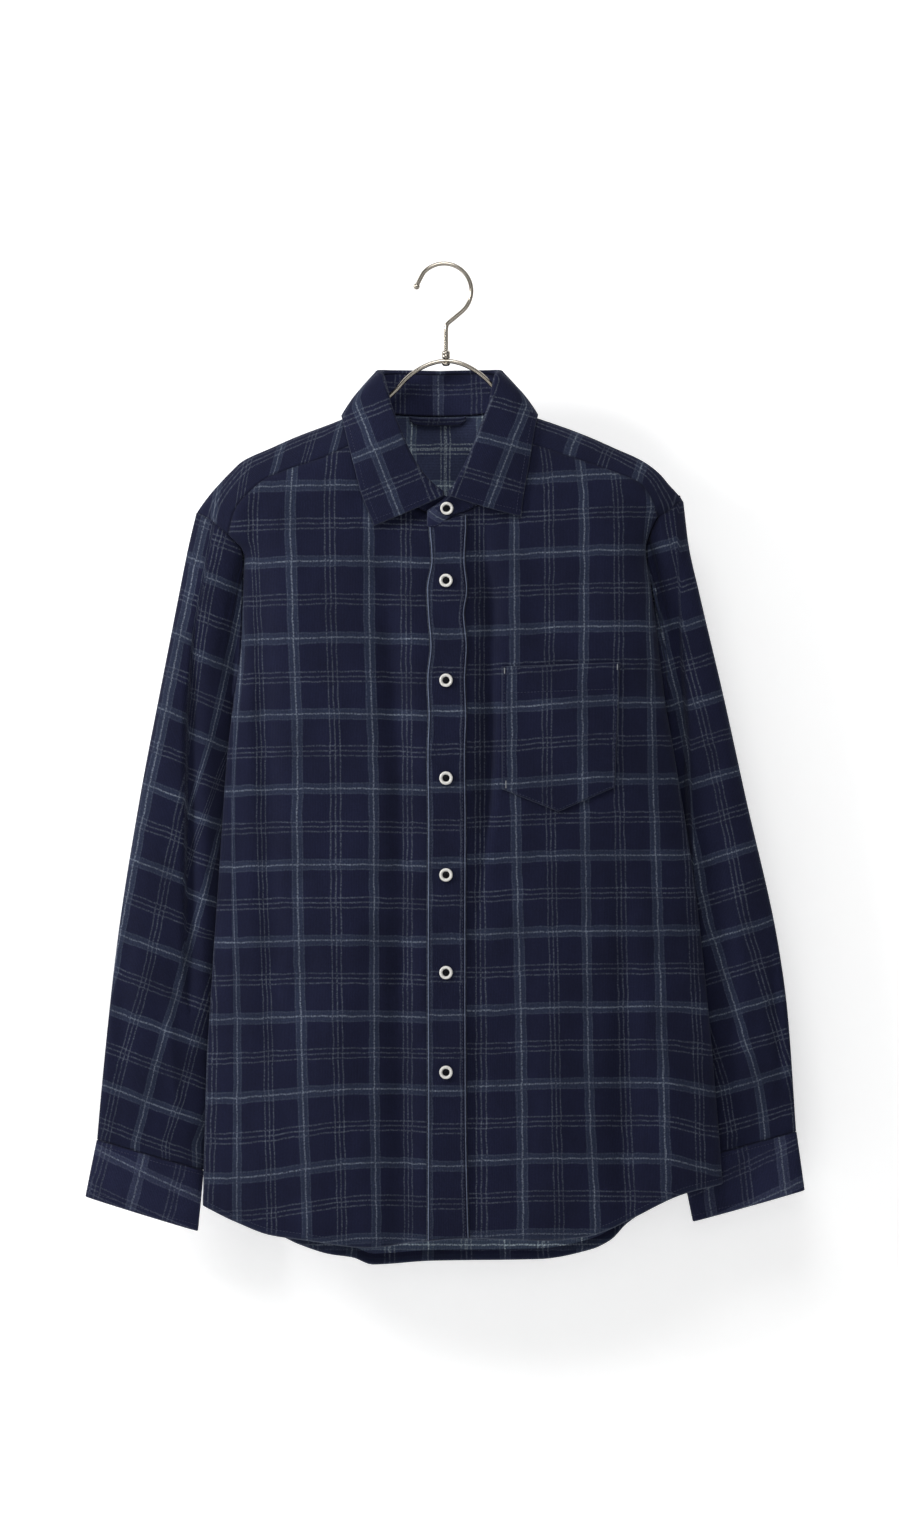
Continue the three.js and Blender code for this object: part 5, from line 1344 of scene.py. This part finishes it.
def shell_button():
    material, n, surface = shader_of("white shell button")
    place = n.add("ShaderNodeTexCoord").outputs["Object"]
    cloud = n.blend(n.noise(place, 220, 3), colour(236, 234, 228), colour(212, 210, 206))
    gloss = n.ramp(n.noise(place, 900, 2), 0.3, 0.7, 0.2, 0.36)
    n.fill(surface, Base_Color=cloud, Roughness=gloss, Coat_Weight=0.3)
    return material


def drawn_steel():
    material, n, surface = shader_of("drawn steel wire")
    place = n.add("ShaderNodeTexCoord").outputs["Object"]
    streak = n.noise(n.scaled(place, 1, 3, 0.3), 300, 2, 0.5)
    tone = n.blend(n.noise(place, 60, 3), colour(146, 138, 126), colour(190, 184, 174))
    n.fill(surface, Base_Color=tone, Metallic=1.0, Roughness=n.ramp(streak, 0.25, 0.75, 0.14, 0.22))
    n.bump(surface, streak, 0.05, 0.03 * MM)
    return material


GROUPS = {"check": window_check(), "wale": wale(), "wear": wear()}
# Tones of the ground, the bands and the pale lines.
OUTSIDE = ((20, 23, 45), (46, 54, 73), (122, 131, 144))
# A lighter copy of the face's tones for the cuffs, the collar's stand, the loop and the sleeve
# plackets: painted light, standing in for the light that falls on the cuffs.
DOUBLED_TONES_PAINTED_LIGHTER = ((28, 31, 55), (56, 62, 84), (122, 131, 144))
# The reverse is paler in its own right, and these tones are lightened further as painted light,
# standing in for light on the shaded inside such as the back neck and the back hem.
INSIDE_PAINTED_LIGHTER = ((54, 60, 86), (84, 98, 118), (204, 220, 228))
FACE = corduroy("corduroy face", OUTSIDE, 0.56, 0.15, hem=5.5)
PATCHED = corduroy("corduroy patch", OUTSIDE, 0.56, 0.08)
DOUBLED_OVER_PAINTED_LIGHTER = corduroy("corduroy band painted lighter", DOUBLED_TONES_PAINTED_LIGHTER, 0.56, 0.08)
TRIMMED = corduroy("corduroy trim", OUTSIDE, 0.56, 0.0, piped=True)
REVERSE_PAINTED_LIGHTER = corduroy("corduroy reverse painted lighter", INSIDE_PAINTED_LIGHTER, 0.85, 0.1, middle=1.8)
SEWING = thread("navy thread", (58, 62, 84))
TACK = thread("pale thread", (150, 154, 160))
BUTTON = shell_button()
# Near-black: the thread's own dark tone, darkened further as painted shade of the button's well.
BUTTON_THREAD_AND_WELL_SHADE = thread("dark thread and well shade", (9, 10, 17))
STEEL = drawn_steel()


# ---- Building -----------------------------------------------------------------------------------
def dress(made, nodes):
    """Puts a piece on the body, in the place of its nodes."""
    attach(made, "root")
    if nodes:
        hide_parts(*nodes)


def revolve(profile, sides):
    """Rings of a turned shape about z from (radius, height) pairs, and its faces."""
    turn = np.linspace(0, 2 * math.pi, sides, endpoint=False)
    vertices = [[r * math.cos(t), r * math.sin(t), z] for r, z in profile for t in turn]
    faces = []
    for ring in range(len(profile) - 1):
        for k in range(sides):
            a, b = ring * sides + k, ring * sides + (k + 1) % sides
            faces.append([a, b, b + sides, a + sides])
    faces.append(list(range(sides))[::-1])
    faces.append([(len(profile) - 1) * sides + k for k in range(sides)])
    return np.array(vertices), faces


def placed(vertices, seat, normal):
    """Turns a shape's z to a normal and moves it to its seat."""
    z = unit(np.asarray(normal, float))
    x = unit(np.cross((0, 0, 1), z))
    y = np.cross(z, x)
    return vertices[:, :1] * x + vertices[:, 1:2] * y + vertices[:, 2:] * z + np.asarray(seat)


CAP_RINGS = 5


def tube(path, radius, sides):
    """A round bar along a path of points, with domed ends."""
    path = np.asarray(path, float)
    tangent = unit(np.gradient(path, axis=0))
    side = np.tile([0.0, 1.0, 0.0], (len(path), 1))
    side = unit(side - tangent * np.sum(side * tangent, axis=1, keepdims=True))
    up = np.cross(tangent, side)
    cap = np.linspace(0, 1, CAP_RINGS + 1)[:-1]
    before = [path[0] - tangent[0] * radius * (1 - t) for t in cap]
    after = [path[-1] + tangent[-1] * radius * t for t in 1 - cap[::-1]]
    scale = np.sqrt(1 - (1 - cap) ** 2)
    radius = radius * np.concatenate([scale, np.ones(len(path)), scale[::-1]])
    path = np.vstack([before, path, after])
    side, up = (np.pad(each, ((CAP_RINGS, CAP_RINGS), (0, 0)), "edge") for each in (side, up))
    turn = np.linspace(0, 2 * math.pi, sides, endpoint=False)
    rings = (path[:, None] + radius[:, None, None] * (side[:, None] * np.cos(turn)[None, :, None]
             + up[:, None] * np.sin(turn)[None, :, None]))
    index = np.arange(len(path) * sides).reshape(len(path), sides)
    after = np.roll(index, -1, axis=1)
    faces = np.stack([index[:-1], after[:-1], after[1:], index[1:]], -1).reshape(-1, 4).tolist()
    faces += [index[0][::-1].tolist(), index[-1].tolist()]
    return rings.reshape(-1, 3), faces


def joined(name, shapes, material):
    """Makes one object of several shapes, each its vertices and faces."""
    vertices, faces = [], []
    for shape_vertices, shape_faces in shapes:
        start = sum(len(v) for v in vertices)
        vertices.append(np.asarray(shape_vertices))
        faces += [[start + i for i in face] for face in shape_faces]
    return mesh_object(name, np.concatenate(vertices), faces, material)


STITCH_PITCH = 3.0
STITCH_LENGTH = 2.2
STITCH_RADIUS = 0.24


def stitches(path, normals):
    """Short raised threads set in a row along a path on the cloth."""
    way = np.concatenate([[0], np.cumsum(np.linalg.norm(np.diff(path, axis=0), axis=1))])
    shapes = []
    for start in np.arange(STITCH_PITCH / 2, way[-1] - STITCH_LENGTH, STITCH_PITCH):
        at = np.linspace(start, start + STITCH_LENGTH, 4)
        run = np.stack([np.interp(at, way, path[:, k]) for k in range(3)], -1)
        normal = unit(np.array([np.interp(start, way, normals[:, k]) for k in range(3)]))
        run += normal * (np.array([-0.5, 0.7, 0.7, -0.5]) * STITCH_RADIUS)[:, None]
        forward = unit(run[-1] - run[0])
        side = np.cross(normal, forward)
        ring = np.array([0, 1, 0, -1])[None, :, None] * side + np.array(
            [1, 0, -1, 0])[None, :, None] * normal
        width = np.array([0.35, 1, 1, 0.35])[:, None, None] * STITCH_RADIUS
        vertices = (run[:, None] + ring * width).reshape(-1, 3)
        faces = [[r * 4 + k, r * 4 + (k + 1) % 4, r * 4 + 4 + (k + 1) % 4, r * 4 + 4 + k]
                 for r in range(3) for k in range(4)] + [[3, 2, 1, 0], [12, 13, 14, 15]]
        shapes.append((vertices, faces))
    return shapes


SKINS = {
    "front_right": front_skin("right"), "front_left": front_skin("left"), "back": back_skin(),
    "yoke": yoke_skin(), "sleeve_right": sleeve_skin("right"), "sleeve_left": sleeve_skin("left"),
    "cuff_right": cuff_skin("right"), "cuff_left": cuff_skin("left"),
    "sleeve_placket_right": sleeve_placket_skin("right"),
    "sleeve_placket_left": sleeve_placket_skin("left"), "collar_stand": stand_skin(),
    "collar_leaf": leaf_skin(), "placket": placket_skin(), "pocket": pocket_skin(),
    "hanging_loop": loop_skin(),
}
# Pieces that take one material on every face.
DOUBLED = ("placket", "pocket", "collar_leaf", "collar_stand", "cuff_right", "cuff_left",
           "hanging_loop", "sleeve_placket_right", "sleeve_placket_left")


def dress_cloth():
    for name, skin in SKINS.items():
        trim = {"placket": TRIMMED, "pocket": PATCHED, "collar_leaf": PATCHED}.get(name, DOUBLED_OVER_PAINTED_LIGHTER)
        materials = [trim] if name in DOUBLED else [FACE, REVERSE_PAINTED_LIGHTER]
        made = skin_object("shirt_" + name, skin, materials)
        dress(made, [name])


def button_shape():
    profile = [(0.3, 0), (4.6, 0), (5.4, 0.3), (5.9, 0.9), (6.0, 1.4), (5.85, 2.0), (5.5, 2.5),
               (4.9, 2.78), (4.4, 2.75), (3.9, 2.4), (3.5, 1.8), (3.3, 1.5), (0.3, 1.45)]
    return revolve(profile, 48)


def button_threads():
    """Four holes' worth of near-black thread, drawn tight in a square over a wound pad that fills the
    well; their darkness is partly painted shade of the recess.
    """
    shapes = [revolve([(0.2, 1.5), (3.0, 1.5), (3.2, 1.65), (2.9, 1.8), (0.2, 1.85)], 24)]
    for turn in range(4):
        angle = turn * math.pi / 2 + math.pi / 4
        corner = np.array([math.cos(angle), math.sin(angle), 0]) * 1.5
        after = np.array([math.cos(angle + math.pi / 2), math.sin(angle + math.pi / 2), 0]) * 1.5
        for offset in (-0.35, 0.35):
            push = unit(corner + after) * offset
            t = np.linspace(0, 1, 7)[:, None]
            rise = np.array([0, 0, 1.0]) * (1.45 + 0.75 * np.sin(math.pi * t))
            shapes.append(tube(mix(corner, after, t) + push + rise, 0.42, 8))
    return shapes


def on_stand(degrees, z):
    """A place on the collar's stand at a height, with the stand's normal there."""
    neck, roll, _, _, _ = collar_frame(np.array([degrees]))
    share = (z - neck[0, 2]) / (roll[0, 2] - neck[0, 2])
    normal = unit(np.array([0, neck[0, 2] - roll[0, 2], roll[0, 1] - neck[0, 1]]))
    return mix(neck[0], roll[0], share), normal


def fix_button(name, seat, normal):
    vertices, faces = button_shape()
    made = mesh_object("shirt_" + name, placed(vertices, seat, normal), faces, BUTTON)
    dress(made, [name])
    shapes = [(placed(v, seat, normal), f) for v, f in button_threads()]
    dress(joined("thread_and_well_shade_" + name, shapes, BUTTON_THREAD_AND_WELL_SHADE), [])


def dress_buttons():
    off = (CLOTH + DOUBLE) / 2 + SEAM + DOUBLE / 2 + SEAM
    for i, z in enumerate(BUTTON_HEIGHTS):
        x, height = np.array([0.0]), np.array([float(z)])
        seat, behind = lifted(x, height, off)[0], lifted(x, height, off - 1)[0]
        fix_button(f"button_front_{i + 1}", seat, seat - behind)
    seat, normal = on_stand(179.5, STAND_BUTTON_Z)
    fix_button("button_collar", seat + normal * (DOUBLE / 2 + SEAM + 0.2), normal)
    for side in ("right", "left"):
        share, half = np.array([1 - 0.45 * CUFF_LAP]), np.array([0.5])
        here = cuff_point(side, share, half)[0]
        across = (cuff_point(side, share + 0.005, half) - cuff_point(side, share - 0.005, half))[0]
        down = (cuff_point(side, share, half + 0.1) - cuff_point(side, share, half - 0.1))[0]
        normal = unit(np.cross(across, down))
        normal = normal * np.sign(normal[1])
        fix_button("button_cuff_" + side, here + normal * (DOUBLE / 2 + SEAM + 0.35), normal)


# Rows of stitches: the edge of the piece that each follows, how far in, and the share of the
# edge that it leaves out. The first ones are on the right and the left piece.
SIDE_ROWS = (("front_", "foot", 5.4), ("cuff_", "foot", 5.0), ("cuff_", "top", 4.0),
             ("cuff_", "start", 5.0), ("cuff_", "end", 5.0), ("sleeve_placket_", "start", 2.0),
             ("sleeve_placket_", "end", 2.0))
ROWS = (("back", "foot", 10.2), ("back", "top", 1.8), ("yoke", "foot", 1.8),
        ("placket", "start", 3.4), ("placket", "end", 3.4), ("collar_leaf", "foot", 5.0),
        ("collar_leaf", "start", 5.0, 0.3), ("collar_leaf", "end", 5.0, 0.3),
        ("collar_stand", "top", 1.8), ("pocket", "top", 23.5), ("pocket", "start", 1.8),
        ("pocket", "end", 1.8), ("pocket", "foot", 1.8))


def dress_stitching():
    sides = [(piece + side, *place) for side in ("right", "left") for piece, *place in SIDE_ROWS]
    rows = []
    for piece, *place in (*sides, *ROWS):
        rows += stitches(*SKINS[piece].rail(*place))
    dress(joined("stitching", rows, SEWING), [])


def dress_tacks():
    """Short pale bar tacks at the pocket's corners."""
    shapes = []
    for x, z, run in ((53.4, -466, 3.0), (52.2, -364.5, 2.2), (152.6, -361, 2.2)):
        path = lifted(np.full(5, x), z + np.linspace(-run, run, 5), 3.6)
        shapes.append(tube(path, 0.45, 8))
    dress(joined("bar_tacks", shapes, TACK), [])


def curve_through(route, count):
    """An even, centripetal curve through a route's points."""
    route = np.asarray(route, float)
    ends = [2 * route[0] - route[1], 2 * route[-1] - route[-2]]
    padded = np.vstack([ends[0], route, ends[1]])
    found = []
    for i in range(len(route) - 1):
        a, b, c, d = padded[i:i + 4]
        gaps = np.maximum(np.sqrt([np.linalg.norm(q - p) for p, q in ((a, b), (b, c), (c, d))]), 1e-6)
        t0, t1, t2, t3 = np.concatenate([[0], np.cumsum(gaps)])
        for t in np.linspace(t1, t2, count, endpoint=False):
            ab, bc = mix(a, b, (t - t0) / (t1 - t0)), mix(b, c, (t - t1) / (t2 - t1))
            cd = mix(c, d, (t - t2) / (t3 - t2))
            abc, bcd = mix(ab, bc, (t - t0) / (t2 - t0)), mix(bc, cd, (t - t1) / (t3 - t1))
            found.append(mix(abc, bcd, (t - t1) / (t2 - t1)))
    found.append(route[-1])
    return np.array(found)


def dress_hanger():
    angle = np.radians(np.arange(138, -49, -4.0))
    bow = HOOK_CENTRE + HOOK_RADIUS * points(np.cos(angle), 0, np.sin(angle))
    tip_end = [(-26.4, 0, -18.6), (-24.7, 0, -14.8), (-22.8, 0, -11.0)]
    neck = [(10.6, 0, -44.3), (6.4, 0, -47.8), (2.6, 0, -50.9), (0.7, 0, -53.4), (0.1, 0, -56.5),
            (0, 0, -62), (0, 0, -70), (0, 0, -76.9)]
    path = np.vstack([curve_through(np.vstack([tip_end, bow[:1]]), 4)[:-1], bow,
                      curve_through(np.vstack([bow[-1:], neck]), 4)[1:]])
    ball = [(3.0 * math.sin(t), -3.0 * math.cos(t)) for t in np.linspace(0.1, math.pi - 0.1, 14)]
    tip, faces = revolve(ball, 24)
    hook = [tube(path, WIRE / 2, 20), (placed(tip, path[0], (0, 1, 0)), faces)]
    dress(joined("hanger_bow", hook, STEEL), ["hanger_hook"])

    arch = [(0, -85.6), (12, -87.4), (24, -92.8), (35, -101), (44, -111), (53, -123), (60, -134),
            (67, -143.6), (76, -149.6)]

    def half(sign):
        route = [(sign * x + HANGER_MID * smooth((x - 44) / 16), 0, z) for x, z in arch]
        for x in sign * np.linspace(92, HANGER_END, 9) + HANGER_MID:
            slope = (RIDGE("z", x + 2) - RIDGE("z", x - 2)) / 4
            drop = (CLOTH / 2 + SEAM + WIRE / 2 + 0.8) * math.hypot(1, slope)
            route.append((x, 0, RIDGE("z", x) - drop))
        return route

    arms = curve_through(half(-1)[::-1] + half(1)[1:], 8)
    arms = [tube(arms, WIRE / 2, 20)]
    dress(joined("hanger_arms_wire", arms, STEEL), ["hanger_arms"])
    collar = [(2.1, -75.4), (2.3, -76.4), (3.2, -76.8), (3.7, -77.5), (3.8, -78.4), (3.8, -79.6),
              (3.5, -79.9), (3.8, -80.2), (3.8, -82.4), (3.4, -83.2), (2.4, -83.6), (1.2, -83.7)][::-1]
    rivet = [(0.4, -90.2), (2.2, -90.0), (3.3, -89.3), (3.7, -88.3), (3.6, -87.4), (1.4, -87.0)]
    shapes = [revolve(collar, 32), revolve(rivet, 32)]
    dress(joined("hanger_ferrule_turned", shapes, STEEL), ["hanger_ferrule"])


# ---- Stage --------------------------------------------------------------------------------------
def plain_sheet(name, corners, glow=0.0, one_sided=False):
    material, n, surface = shader_of(name)
    n.fill(surface, Base_Color=STAGE_TONE, Roughness=0.9, Emission_Color=(1, 1, 1, 1),
           Emission_Strength=glow)
    if one_sided:  # seen from behind it lets the view through
        clear = n.add("ShaderNodeBsdfTransparent")
        mixed = n.add("ShaderNodeMixShader")
        n.feed(mixed.inputs[0], n.add("ShaderNodeNewGeometry").outputs["Backfacing"])
        n.feed(mixed.inputs[1], surface.outputs[0])
        n.feed(mixed.inputs[2], clear.outputs[0])
        n.feed(material.node_tree.nodes["Material Output"].inputs[0], mixed.outputs[0])
    mesh_object(name, corners, [[0, 1, 2, 3]], material, False)


def lamp(name, place, size, power, aim):
    data = bpy.data.lights.new(name, "AREA")
    data.shape = "DISK"
    data.size = size
    data.energy = power
    made = bpy.data.objects.new(name, data)
    bpy.context.scene.collection.objects.link(made)
    made.location = place
    direction = Vector(np.array(aim) - np.array(place))
    made.rotation_euler = direction.to_track_quat("-Z", "Y").to_euler()


def set_stage():
    low, high = np.array(packed_low), np.array(packed_high)
    middle = (low + high) / 2
    floor_z = (low[2] - 0.35) / MM
    wall_y = (high[1] + 0.035) / MM
    wide = 6000
    plain_sheet("floor", [(-wide, -wide, floor_z), (wide, -wide, floor_z), (wide, wide, floor_z),
                          (-wide, wide, floor_z)])
    plain_sheet("backdrop", [(-wide, wall_y, floor_z), (wide, wall_y, floor_z),
                             (wide, wall_y, wide), (-wide, wall_y, wide)], BACKDROP_GLOW, True)
    for name, (place, size, power) in LAMPS.items():
        lamp(name, place, size, power, middle)
    world = bpy.data.worlds.new("studio")
    bpy.context.scene.world = world
    world.use_nodes = True
    background = world.node_tree.nodes["Background"]
    Nodes(world.node_tree).fill(background, Color=(1, 1, 1, 1), Strength=WORLD_GLOW)


def set_camera():
    data = bpy.data.cameras.new("camera")
    data.sensor_width = SENSOR
    data.lens = SENSOR * (CAMERA_DISTANCE - VIEW_FRONT) / VIEW_HEIGHT
    data.clip_end = 60
    made = bpy.data.objects.new("camera", data)
    bpy.context.scene.collection.objects.link(made)
    made.location = (VIEW_CENTRE[0], VIEW_CENTRE[1] - CAMERA_DISTANCE, VIEW_CENTRE[2])
    made.rotation_euler = (math.radians(90), 0, 0)
    bpy.context.scene.camera = made
    bpy.context.scene.view_settings.view_transform = "Standard"


dress_cloth()
dress_buttons()
dress_stitching()
dress_tacks()
dress_hanger()
set_stage()
set_camera()
